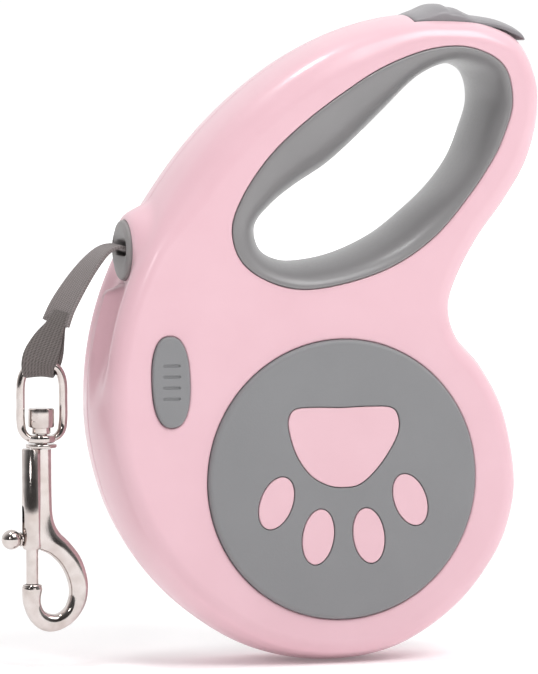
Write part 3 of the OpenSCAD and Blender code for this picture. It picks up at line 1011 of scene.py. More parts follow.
@dataclass
class Plate:
    """A flat piece parallel to the faces, with a rounded rim and pockets in its outer side."""

    name: str
    loop: Loop2
    face_y: float                # distance of the outer side from the parting plane
    back_y: float
    side: Side
    rim: float = 0.8
    pockets: list[Pocket] = field(default_factory=list)
    run_in: float = 0.3          # the flat ring inside its rim

    def build(self) -> bpy.types.Object:
        """Makes the plate.

        Returns:
            The plate, at its place on the casing.
        """
        cage = Cage()
        sign = self.side.value
        steps = 5
        rings = [cage.flat_ring(self.loop, sign * self.back_y)]
        for k in range(steps + 1):
            a = CORNER * k / steps
            y = sign * (self.face_y - self.rim * (1 - math.sin(a)))
            rings.append(cage.flat_ring(grown(self.loop, -self.rim * (1 - math.cos(a))), y))
        rings.append(cage.flat_ring(grown(self.loop, -self.rim - self.run_in), sign * self.face_y))
        cage.chain(rings)
        cage.fill(rings[0])
        holes = [pocket.sink(cage, sign * self.face_y, -sign) for pocket in self.pockets]
        cage.fill(rings[-1], *holes)
        return cage.solid(self.name)


# ---------------------------------------------------------------- casing


def oval_loop(grow: float) -> Loop2:
    """The oval badge's outline, with a gap of this much round it."""
    half_w, half_h = OVAL_HALF
    return stadium(half_w + grow, half_h + grow, 96, OVAL_AT, OVAL_POWER, OVAL_TILT)


@dataclass
class Casing:
    """The two moulded shells, their soft grips and the badges let into them."""

    outline_steps: int = 14
    mouth_steps: int = 12
    parting_groove: float = 0.22     # half of the fine V at the parting line
    boss_plane: float = GROMMET_X - 0.8
    boss_flat: float = 8.8           # radius where the grommet's boss starts to fall away
    boss_end: float = 13.6           # radius where it has joined the side
    boss_step: float = 2.0           # how much sooner it ends below the grommet
    mouth_rim: float = 0.45
    mouth_run_out: float = 0.6       # the flat ring round the mouth's rim
    boss_front: float = -40.0        # it is made only of points in front of this x
    soft_edge_r: float = 6.0         # the handle's upper side
    soft_edge_z: Point2 = (62, 84)   # where that edge starts to grow and is full
    soft_edge_x: Point2 = (26, 4)
    well_half: float = 11.8          # half width of the button's well
    hollow_depth: float = 3.9        # scoop in the side below the exit
    hollow_front: float = -30.0      # it lies in front of this x
    hollow_z: tuple = (18, 40, 55, 66)           # starts, is full up to there, and has ended
    hollow_y: tuple = (0.8, 4.5, 5.5, 13)        # the same, out from the parting plane
    edge_run_out: float = 0.5        # how far a flat face reaches in past its rounded edge
    grip_proud: float = 0.3          # the grip's lip above the face
    grip_lip_r: float = 0.45
    grip_fullness: float = 1.12      # 1 for an elliptical section from lip to ridge
    sunk: float = 1.0                # depth of the badges' seats and of the paw's
    oval_sunk: float = 0.8
    oval_proud: float = 0.9
    inlay_below: float = 0.05        # the paw's inlays below the badge's face
    bar_half: Point2 = (2.4, 0.4)    # the oval badge's engraved bars
    bar_pitch: float = 3.0
    seat_from: float = -45.0         # where the hole for the grommet's sleeve starts
    seat_reach: float = 14.0         # how far its cutters reach out past the side
    well: tuple = ((22.4, 120.4), (46, 120.4), (55.65, 116.8), (55.65, 140), (46, 140), (22.4, 140))
    foot_slot: tuple = ((49, 108), (51.8, 108), (51.8, 121), (49, 121))
    foot_slot_y: Point2 = (-10.3, -3.5)
    peg_hole: tuple = (1.6, (51, 5, 110), 12)    # radius, foot and length
    screw_hole: tuple = (2.4, 5.0, 9.0)          # radius, depth and the cutter's length

    def side_sections(self, edge_r: float) -> list[Point2]:
        """The profile of a shell's outer side, rim included.

        Args:
            edge_r: The radius between side and face.

        Returns:
            (distance from the parting plane, inset) from the parting line to the face.
        """
        sections = [(0.0, self.parting_groove), (self.parting_groove * 1.6, 0.0)]
        body_steps, rim_steps = 12, 10
        straight = HALF_T - edge_r
        for k in range(1, body_steps + 1):
            y = straight * k / body_steps
            sections.append((y, CROWN * (y / HALF_T) ** 2))
        for k in range(1, rim_steps + 1):
            a = CORNER * k / rim_steps
            y = straight + edge_r * math.sin(a)
            sections.append((y, CROWN * (y / HALF_T) ** 2 + edge_r * (1 - math.cos(a))))
        sections.append((HALF_T, CROWN + edge_r + self.edge_run_out))
        return sections

    def edge_radius(self, x: float, z: float) -> float:
        """The radius between side and face, which grows along the handle's upper side."""
        share = smoothstep(*self.soft_edge_z, z) * smoothstep(*self.soft_edge_x, x)
        return EDGE_R + (self.soft_edge_r - EDGE_R) * share

    def hollow(self, x: float, z: float) -> float:
        """How deep the side is scooped out below the tape's exit, at the scoop's deepest line."""
        return 0.0 if x > self.hollow_front else self.hollow_depth * plateau(self.hollow_z, z)

    def with_boss(self, x: float, y: float, z: float, inward: float = 0.0) -> Vector:
        """Moves a point of the side onto the grommet's boss, if it is near it.

        Args:
            x: The point's place towards the back of the handle.
            y: Its place away from the front face.
            z: Its height.
            inward: How far inside the boss's plane this skin runs.

        Returns:
            The point, moved or not.
        """
        r = math.hypot(y, z - GROMMET_Z)
        end = self.boss_end - self.boss_step * smoothstep(0, -6, z - GROMMET_Z)
        if x > self.boss_front or r > end:
            return Vector((x, y, z))
        share = smoothstep(self.boss_flat, end, r)
        plane = self.boss_plane + inward
        return Vector((plane + (x - plane) * share, y, z))

    def build_shell(self, side: Side) -> bpy.types.Object:
        """Makes one shell as a closed skin, inside and out.

        Args:
            side: Front or rear.

        Returns:
            The shell, with its seats, wells and holes cut.
        """
        sign = side.value
        case = closed_curve(CASE_OUTLINE, self.outline_steps)
        mouth = closed_curve(MOUTH_OUTLINE, self.mouth_steps)
        cage = Cage()
        normals = [q - p for p, q in zip(case, grown(case, 1.0))]
        profiles = [self.side_sections(self.edge_radius(q.x, q.y)) for q in case]
        outer = []
        for k in range(len(profiles[0])):
            points = []
            for q, n, profile in zip(case, normals, profiles):
                y, inset = profile[k]
                p = q - n * (inset + self.hollow(q.x, q.y) * plateau(self.hollow_y, y))
                points.append(self.with_boss(p.x, sign * y, p.y))
            outer.append(cage.ring(points))
        cage.chain(outer)
        inner = []
        inner_steps = 4
        for k in range(inner_steps + 1):
            y = (HALF_T - WALL) * k / inner_steps
            inset = WALL + CROWN * (y / HALF_T) ** 2
            loop = [q - n * (inset + self.hollow(q.x, q.y)) for q, n in zip(case, normals)]
            inner.append(cage.ring([self.with_boss(q.x, sign * y, q.y, WALL) for q in loop]))
        cage.chain(inner)
        cage.bridge(outer[0], inner[0])
        # the mouth: rim, wall outside and in
        steps = 4
        run_out = self.mouth_rim + self.mouth_run_out
        rim = [cage.flat_ring(grown(mouth, run_out), sign * HALF_T)]
        for k in range(steps + 1):
            a = CORNER * k / steps
            y = HALF_T - self.mouth_rim * (1 - math.cos(a))
            rim.append(cage.flat_ring(grown(mouth, self.mouth_rim * (1 - math.sin(a))), sign * y))
        rim.append(cage.flat_ring(mouth, 0.0))
        cage.chain(rim)
        wall = [cage.flat_ring(grown(mouth, WALL), sign * y) for y in (0.0, HALF_T - WALL)]
        cage.chain(wall)
        cage.bridge(rim[-1], wall[0])
        cage.fill(inner[-1], wall[-1])
        pockets = [Pocket(circle(BADGE_R + SEAT_GAP, FACE_POINTS), self.sunk, 0.45)]
        if side is Side.FRONT:
            pockets.append(Pocket(oval_loop(SEAT_GAP), self.oval_sunk, 0.4))
        holes = [p.sink(cage, sign * HALF_T, -sign) for p in pockets]
        cage.fill(outer[-1], rim[0], *holes)
        shell = cage.solid(f"{side.name.lower()}_shell_skin")
        cut(shell, self.shell_cutters(side))
        return shell

    def shell_cutters(self, side: Side) -> list[bpy.types.Object]:
        """Makes the shapes that open the grommet's seat, the button's well and the screw holes.

        Args:
            side: Front or rear.

        Returns:
            The closed shapes.
        """
        out = (-1, 0, 0)
        seat_at, sleeve_at = (GROMMET_X, 0, GROMMET_Z), (self.seat_from, 0, GROMMET_Z)
        cutters = [
            rod("seat_cutter", Grommet.flange_r + SEAT_GAP, seat_at, out, self.seat_reach),
            rod("sleeve_cutter", Grommet.sleeve_r + SEAT_GAP, sleeve_at, out, self.seat_reach - 1),
            self.prism("well_cutter", self.well, (-self.well_half, self.well_half)),
        ]
        if side is Side.REAR:
            peg_r, peg_foot, peg_length = self.peg_hole
            cutters.append(rod("peg_cutter", peg_r, peg_foot, (0, 0, 1), peg_length))
            head_r, deep, length = self.screw_hole
            for x, z in SCREWS:
                cutters.append(rod("head_cutter", head_r, (x, HALF_T - deep, z), (0, 1, 0), length))
        else:
            cutters.append(self.prism("foot_cutter", self.foot_slot, self.foot_slot_y))
        return cutters

    @staticmethod
    def prism(name: str, corners: Sequence[Point2], ys: Point2) -> bpy.types.Object:
        """A closed prism along y.

        Args:
            name: The object's name.
            corners: Its outline's (x, z) corners, counterclockwise from the front.
            ys: Where it starts and ends.

        Returns:
            The prism.
        """
        cage = Cage()
        rings = [cage.flat_ring([Vector(p) for p in corners], y) for y in ys]
        cage.chain(rings)
        cage.fill(rings[0])
        cage.fill(rings[1])
        return cage.solid(name)

    def build_grip(self, side: Side) -> bpy.types.Object:
        """Makes one soft grip, from its back on the shell round its lip to the ridge.

        Args:
            side: Front or rear.

        Returns:
            The grip.
        """
        sign = side.value
        back = grown(closed_curve(MOUTH_OUTLINE, self.mouth_steps), -SEAT_GAP)
        ridge = closed_curve(RIDGE_OUTLINE, self.mouth_steps)
        lip_y, lip_r = HALF_T + self.grip_proud, self.grip_lip_r
        cage = Cage()
        rings = [cage.flat_ring(back, 0.0), cage.flat_ring(back, sign * (lip_y - lip_r))]
        for a in (30, 60, 90):
            t = math.radians(a)
            loop = grown(back, -lip_r * (1 - math.cos(t)))
            rings.append(cage.flat_ring(loop, sign * (lip_y - lip_r + lip_r * math.sin(t))))
        lip = grown(back, -lip_r)
        stations = 20
        for k in range(1, stations + 1):
            a = CORNER * k / stations
            share = math.sin(a) ** self.grip_fullness
            loop = [p.lerp(q, share) for p, q in zip(lip, ridge)]
            rings.append(cage.flat_ring(loop, sign * lip_y * math.cos(a)))
        cage.chain(rings)
        cage.bridge(rings[-1], rings[0])
        return cage.solid(f"{side.name.lower()}_grip_skin", 60)

    def build_badges(self) -> dict[str, bpy.types.Object]:
        """Makes the round badges, the paw's inlays and the oval badge.

        Returns:
            The pieces, by the node that each stands for.
        """
        front, disc = Side.FRONT, circle(BADGE_R, FACE_POINTS)
        face, back = HALF_T + BADGE_PROUD, HALF_T - self.sunk
        inlay_face, inlay_back = face - self.inlay_below, face - self.sunk
        inset, inlay_rim = SEAT_GAP + 0.1, 0.3
        pad = closed_curve(PAD_OUTLINE, 8)
        toes = [ellipse(a, b, 56, at, tilt) for at, a, b, tilt in TOES]
        sunk = [Pocket(loop, self.sunk, 0.25) for loop in [pad, *toes]]
        bars = []
        for k in (-1.5, -0.5, 0.5, 1.5):
            at = (OVAL_AT[0], OVAL_AT[1] + self.bar_pitch * k)
            bars.append(Pocket(stadium(*self.bar_half, 24, at), 0.35, 0.12))
        toe_plates = [
            Plate(f"toe_{i}", grown(toe, -inset), inlay_face, inlay_back, front, inlay_rim).build()
            for i, toe in enumerate(toes)
        ]
        toe_group = join("paw_toe_inlays", toe_plates)
        smooth(toe_group, SHARP)
        oval_face, oval_back = HALF_T + self.oval_proud, HALF_T - self.oval_sunk
        return {
            "front_badge": Plate("front_badge_skin", disc, face, back, front, 1.2, sunk).build(),
            "rear_badge": Plate("rear_badge_skin", disc, face, back, Side.REAR, 1.2).build(),
            "paw_pad": Plate(
                "paw_pad_inlay", grown(pad, -inset), inlay_face, inlay_back, front, inlay_rim
            ).build(),
            "paw_toes": toe_group,
            "side_badge": Plate(
                "side_badge_skin", oval_loop(0.0), oval_face, oval_back, front, 0.6, bars
            ).build(),
        }

    def build(self, dresser: Dresser) -> None:
        """Makes and dresses the whole casing.

        Args:
            dresser: Gives each piece its finish and body.
        """
        for side in Side:
            name = side.name.lower()
            dresser.dress(self.build_shell(side), "casing", "shell_pink", [f"{name}_shell"])
            dresser.dress(self.build_grip(side), "casing", "soft_grey", [f"{name}_grip"])
        for node, piece in self.build_badges().items():
            slot = dresser.node_slots[node]
            dresser.dress(piece, "casing", slot, [node])


@dataclass
class ThumbButton:
    """The long sprung button on the handle's top: a thumb hump at the front and a tail down the back."""

    half_width: float = 11.4
    squareness: float = 0.42         # lower is squarer in section
    profile: tuple = (
        # x, top z, bottom z, share of the full width
        (22.8, 126.7, 124.4, 0.80), (23.1, 127.4, 124.0, 0.90), (24.4, 128.1, 123.7, 0.96),
        (27.2, 129.1, 123.6, 0.99), (29.6, 130.2, 123.6, 1.0), (31.2, 130.6, 123.6, 1.0),
        (32.4, 130.5, 123.6, 1.0), (33.6, 129.9, 123.6, 1.0), (36.0, 129.6, 123.6, 1.0),
        (38.0, 128.7, 123.6, 1.0), (40.6, 127.6, 123.6, 0.99), (43.6, 127.2, 123.6, 0.98),
        (47.6, 126.5, 123.0, 0.97), (51.2, 125.3, 121.7, 0.97), (53.8, 123.9, 120.7, 0.96),
        (54.9, 122.6, 120.3, 0.94), (55.4, 121.7, 120.2, 0.86),
    )
    wrap: float = 1.5                # how far the long edges follow the crest down
    # x from and to, y from and to, z from and to of the feet that press the push link
    feet: tuple = (((49.3, 51.5), (-6.8, -3.8), (117, 123.5)), ((49.3, 51.5), (-10, -6), (117, 118.2)))
    peg_at: Point3 = (51, 5, 118.6)  # foot of the peg that centres the spring
    peg_r: float = 1.3

    def build(self, dresser: Dresser) -> None:
        """Makes and dresses the button, its hidden feet and its spring.

        Args:
            dresser: Gives each piece its finish and body.
        """
        cage = Cage()
        rings = []
        for x, top, foot, share in open_curve(self.profile, 3):
            middle, half = (top + foot) / 2, (top - foot) / 2
            points = []
            for q in stadium(self.half_width * share, half, 40, (0.0, middle), self.squareness):
                drop = self.wrap * (q.x / self.half_width) ** 2 * (q.y - foot) / (top - foot)
                points.append((x, q.x, q.y - drop))
            rings.append(cage.ring(points))
        cage.chain(rings)
        cage.cap(rings[0])
        cage.cap(rings[-1])
        body = cage.solid("button_body", 60)
        add_modifier(body, "SUBSURF", levels=1, render_levels=1)
        apply_modifiers(body)
        feet = [self.foot(*spans) for spans in self.feet]
        peg = turned("button_peg", rounded(self.peg_r, 0, 5, 0.2), self.peg_at)
        piece = join("thumb_button_skin", [body, *feet, peg])
        smooth(piece, 50)
        dresser.dress(piece, "button", "button_grey", ["thumb_button"])
        spring = CoilSpring(
            "button_spring_coil", "button_spring", "casing", "thumb_press", at=(51.0, 5.0),
            foot=113.0, head=118.58, radius=1.05, wire_r=0.25, turns=5, travel=3.0,
        )
        spring.build(dresser)

    def foot(self, xs: Point2, ys: Point2, zs: Point2) -> bpy.types.Object:
        """Makes a square foot under the button with softened edges.

        Args:
            xs: Where it starts and ends in x.
            ys: The same in y.
            zs: The same in z.

        Returns:
            The foot.
        """
        cage = Cage()
        corners = [(xs[0], ys[0]), (xs[1], ys[0]), (xs[1], ys[1]), (xs[0], ys[1])]
        rings = [cage.ring([(x, y, z) for x, y in corners]) for z in zs]
        cage.chain(rings)
        cage.bm.faces.new(rings[0])
        cage.bm.faces.new(rings[1])
        obj = cage.solid("button_foot")
        add_modifier(obj, "BEVEL", width=0.15 * MM, segments=2)
        apply_modifiers(obj)
        return obj


@dataclass
class CoilSpring:
    """A compression spring that a joint squeezes towards its fixed end, built here only at rest."""

    name: str
    node: str
    body: str
    joint: str
    at: Point2                       # x and y of its axis
    foot: float                      # z of its lower end
    head: float
    radius: float                    # to the middle of the wire
    wire_r: float
    turns: float
    travel: float                    # how far the joint squeezes it
    fixed_head: bool = False         # whether its upper end is the one that stays
    steps: int = 20

    def height(self, turn: float) -> float:
        """The height of the wire's middle, with one closed turn at each end.

        Args:
            turn: How many turns up the wire, from its lower end.

        Returns:
            The height in millimetres.
        """
        closed = 2.1 * self.wire_r
        low, high = self.foot + self.wire_r, self.head - self.wire_r
        if turn < 1:
            return low + closed * turn
        if turn > self.turns - 1:
            return high - closed * (self.turns - turn)
        return low + closed + (high - low - 2 * closed) * (turn - 1) / (self.turns - 2)

    def build(self, dresser: Dresser) -> bpy.types.Object:
        """Args:
            dresser: Gives it its finish and body.

        Returns:
            The spring.
        """
        cage = Cage()
        rings = []
        for i in range(round(self.turns * self.steps) + 1):
            turn = i / self.steps
            out = Vector((math.cos(math.tau * turn), math.sin(math.tau * turn), 0))
            middle = Vector((*self.at, self.height(turn))) + out * self.radius
            rings.append(cage.ring([
                middle + (out * q.x + Vector((0, 0, q.y))) * self.wire_r for q in circle(1.0, 10)
            ]))
        cage.chain(rings)
        cage.cap(rings[0])
        cage.cap(rings[-1])
        slot = dresser.node_slots[self.node]
        spring = dresser.dress(cage.solid(self.name, 60), self.body, slot, [self.node])
        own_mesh(spring)
        return spring


@dataclass
class Grommet:
    """The collar that the tape leaves through: a rounded flange, a sleeve and a slanting slot."""

    flange_r: float = 8.3
    sleeve_r: float = 7.0
    flange_t: float = 2.0
    slot_half: Point2 = (6.2, 1.9)   # half of the slot's width and height
    slot_z: float = 63.6
    slot_squareness: float = 0.5
    rim: float = 0.9                 # radius of the flange's edge
    lip: float = 1.1                 # radius of the slot's worn-in lip
    lip_spread: float = 0.66         # how much wider the slot is at the flange's face
    crown: float = 0.25              # how far the flange's face bulges
    sleeve_end: float = -50.0
    points: int = 112

    def slot_loop(self, grow: float, z: float) -> Loop2:
        """The slot's outline in (y, z), grown by a distance."""
        half_w, half_h = self.slot_half
        return stadium(half_w + grow, half_h + grow, self.points, (0, z), self.slot_squareness)

    def round_loop(self, r: float) -> Loop2:
        """A round outline in (y, z) whose points face the slot's."""
        turns = (math.tau * (i + 0.5) / self.points for i in range(self.points))
        return [Vector((math.cos(t) * r, math.sin(t) * r + GROMMET_Z)) for t in turns]

    def build(self, dresser: Dresser) -> None:
        """Makes and dresses the grommet, from the slot's inner end round the flange to the sleeve.

        Args:
            dresser: Gives it its finish and body.
        """
        cage = Cage()
        front_x = GROMMET_X - self.flange_t
        inner_r = self.flange_r - self.rim
        slot = [(self.sleeve_end, 0.0), (front_x + self.lip, 0.0)]
        for a in (22.5, 45, 67.5, 90):
            t = math.radians(a)
            spread = self.lip * 0.6 * (1 - math.cos(t))
            slot.append((front_x + self.lip * (1 - math.sin(t)), spread))
        stations = []
        for x, grow in slot:
            drop = (x - EXIT.x) * math.tan(tape_run_slope())
            stations.append((x, self.slot_loop(grow, self.slot_z - drop)))
        for share in (0.25, 0.5, 0.75):
            pairs = zip(self.slot_loop(self.lip_spread, self.slot_z), self.round_loop(inner_r))
            x = front_x - self.crown * math.sin(math.pi * share)
            stations.append((x, [p.lerp(q, share) for p, q in pairs]))
        for a in (0, 22.5, 45, 67.5, 90):
            t = math.radians(a)
            x, r = front_x + self.rim * (1 - math.cos(t)), self.flange_r - self.rim * (1 - math.sin(t))
            stations.append((x, self.round_loop(r)))
        back = ((GROMMET_X, self.flange_r), (GROMMET_X, self.sleeve_r), (self.sleeve_end, self.sleeve_r))
        stations += [(x, self.round_loop(r)) for x, r in back]
        rings = [cage.ring([(x, q.x, q.y) for q in loop]) for x, loop in stations]
        cage.chain(rings)
        cage.bridge(rings[-1], rings[0])
        piece = cage.solid("leash_grommet_skin", 50)
        dresser.dress(piece, "casing", "grommet_grey", ["leash_grommet"])


# ---------------------------------------------------------------- tape

EXIT = Vector((-58.0, 63.6))         # where the tape leaves the grommet
TAPE_R = 35.5                        # radius that the tape's middle leaves the coil at
TAPE_T = 1.2                         # thickness of the webbing


def tape_run_slope() -> float:
    """The rise of the tape's straight run towards the exit, in radians."""
    return math.atan2(EXIT.y, -EXIT.x) - math.asin(TAPE_R / EXIT.length)


@dataclass
class Tape:
    """The woven tape from inside the casing to its sewn end, and the loop that holds the ring."""

    width: float = 10.0
    run_inside: float = 32.0         # how much of the straight run is made
    # x, z and the turn of the tape's width out of Y, in degrees
    stations: tuple = (
        (-58.0, 63.6, 0.0), (-60.6, 64.1, 2.0), (-63.4, 63.0, 6.0), (-66.4, 60.2, 12.0),
        (-69.6, 56.2, 18.0), (-72.8, 51.4, 24.0), (-75.2, 47.2, 28.0), (-76.8, 43.3, 32.0),
    )
    # x, y, z, turn of the width towards Y in degrees, and width: down in front of the ring's bar,
    # round under it and up behind
    fold: tuple = (
        (-75.4, -0.9, 46.4, 34.0, 6.4), (-77.2, -1.5, 43.4, 48.0, 5.6), (-79.4, -2.2, 39.6, 68.0, 7.6),
        (-81.3, -2.6, 35.6, 82.0, 9.4), (-82.4, -2.7, 32.6, 88.0, 9.6), (-82.2, -1.9, 30.1, 90.0, 8.6),
        (-81.3, 0.0, 29.3, 90.0, 7.4), (-80.2, 1.8, 30.6, 90.0, 7.8), (-79.0, 2.3, 33.2, 88.0, 8.8),
        (-78.4, 2.2, 36.4, 80.0, 8.8), (-77.4, 1.9, 39.8, 64.0, 7.4), (-76.2, 1.4, 43.2, 44.0, 6.0),
        (-75.2, 1.0, 46.4, 32.0, 6.4),
    )
    fold_t: float = 1.0              # thickness of the folded tape, which is pulled tight
    stitch_r: float = 0.16
    stitch_length: float = 0.84
    stitches: int = 9                # in each of the two rows

    def frames(self) -> list[TapeFrame]:
        """Follows the tape from inside the casing to its sewn end.

        Returns:
            (middle, direction of the width, direction of the thickness) in millimetres.
        """
        slope = tape_run_slope()
        inside = [
            (EXIT.x + s * math.cos(slope), EXIT.y - s * math.sin(slope), 0.0)
            for s in (self.run_inside, self.run_inside * 0.66, self.run_inside * 0.33)
        ]
        path = open_curve([*inside, *self.stations], 6)
        return self.sweep_frames([(p.x, 0.0, p.y, p.z) for p in path])

    @staticmethod
    def sweep_frames(path: Sequence[Sequence[float]]) -> list[TapeFrame]:
        """Frames along a path whose width stays near -Y.

        Args:
            path: x, y, z and the turn of the width out of -Y in degrees, at each station.

        Returns:
            A frame at each station.
        """
        frames = []
        last = len(path) - 1
        for i, (x, y, z, turn) in enumerate(path):
            a, b = path[max(i - 1, 0)], path[min(i + 1, last)]
            along = Vector((b[0] - a[0], b[1] - a[1], b[2] - a[2])).normalized()
            across = Vector((0, -1, 0)) - along * (-along.y)
            across.normalize()
            side = across.cross(along)
            t = math.radians(turn)
            width = across * math.cos(t) + side * math.sin(t)
            frames.append((Vector((x, y, z)), width, along.cross(width).normalized()))
        return frames

    @staticmethod
    def strip(
        name: str, frames: Sequence[TapeFrame], widths: Sequence[float], thick: float
    ) -> bpy.types.Object:
        """A woven strip with rounded selvedges and a UV map in millimetres.

        Args:
            name: The object's name.
            frames: Middle, width direction and thickness direction at each station.
            widths: The strip's width at each station.
            thick: Its thickness.

        Returns:
            The strip.
        """
        cage = Cage()
        uv = cage.bm.loops.layers.uv.new("tape")
        section = stadium(1.0, 1.0, 28, (0.0, 0.0), 0.28)
        rings, places = [], {}
        run = 0.0
        for i, (middle, across, up) in enumerate(frames):
            if i:
                run += (middle - frames[i - 1][0]).length
            ring = cage.ring(
                [middle + across * q.x * widths[i] / 2 + up * q.y * thick / 2 for q in section]
            )
            for vert, q in zip(ring, section):
                places[vert] = (q.x * widths[i] / 2, run)
            rings.append(ring)
        cage.chain(rings)
        cage.bm.faces.new(rings[0])
        cage.bm.faces.new(rings[-1])
        for face in cage.bm.faces:
            for loop in face.loops:
                loop[uv].uv = places[loop.vert]
        return cage.solid(name, 70)

    def build(
        self, dresser: Dresser
    ) -> tuple[bpy.types.Object, list[bpy.types.Object], list[Vector]]:
        """Makes and dresses the tape.

        Args:
            dresser: Gives each piece its finish and body.

        Returns:
            The tape, the pieces on its end and the points it follows.
        """
        frames = self.frames()
        tape = self.strip("leash_tape_woven", frames, [self.width] * len(frames), TAPE_T)
        dresser.dress(tape, "tape_end", "tape_grey", ["leash_tape"])
        # the loop wears the darker webbing: painted shade for its fold
        loop = dresser.dress(self.build_loop(), "tape_end", "tape_grey", ["tape_loop"], "tape_fold")
        stitches = dresser.dress(self.build_stitches(frames), "tape_end", "tape_grey")
        return tape, [loop, stitches], [place(*middle) for middle, _, _ in frames]

    def build_loop(self) -> bpy.types.Object:
        """Makes the tape's folded end.

        Returns:
            The loop round the ring's bar.
        """
        fine = open_curve(self.fold, 5)
        frames = self.sweep_loop(fine)
        return self.strip("tape_loop_woven", frames, [p[4] for p in fine], self.fold_t)

    @staticmethod
    def sweep_loop(path: Sequence[Sequence[float]]) -> list[TapeFrame]:
        """Frames for the loop: its width turns from the tape's to along the ring's bar.

        Args:
            path: x, y, z, the turn of the width in degrees and the width, at each station.

        Returns:
            A frame at each station.
        """
        frames = []
        last = len(path) - 1
        for i, (x, y, z, turn, _) in enumerate(path):
            a, b = path[max(i - 1, 0)], path[min(i + 1, last)]
            along = Vector((b[0] - a[0], b[1] - a[1], b[2] - a[2])).normalized()
            t = math.radians(turn)
            width = Vector((math.sin(t), -math.cos(t), 0.0))
            width = (width - along * width.dot(along)).normalized()
            frames.append((Vector((x, y, z)), width, along.cross(width).normalized()))
        return frames

    def build_stitches(self, frames: Sequence[TapeFrame]) -> bpy.types.Object:
        """Makes two bar tacks of thick thread across the tape, just above its cut end.

        Args:
            frames: The tape's own frames.

        Returns:
            The stitches of both faces.
        """
        parts = []
        lift, sewn_width = TAPE_T / 2 + 0.02, self.width - 2.2
        profile = rounded(self.stitch_r, 0, self.stitch_length, 0.12, 2)
        for row in (-1, -3):
            middle, across, up = frames[row]
            for k in range(self.stitches):
                at = middle + across * (k - (self.stitches - 1) / 2) * sewn_width / self.stitches
                for face in (-1, 1):
                    foot = at + up * face * lift - across * self.stitch_length / 2
                    parts.append(turned("stitch", profile, foot, across, 8))
        stitches = join("tape_stitches", parts)
        smooth(stitches, 60)
        uv = stitches.data.uv_layers.new(name="tape")
        for loop in stitches.data.loops:
            co = stitches.data.vertices[loop.vertex_index].co
            uv.data[loop.index].uv = (co.x / MM, co.z / MM)
        return stitches


# ---------------------------------------------------------------- swivel and bolt snap


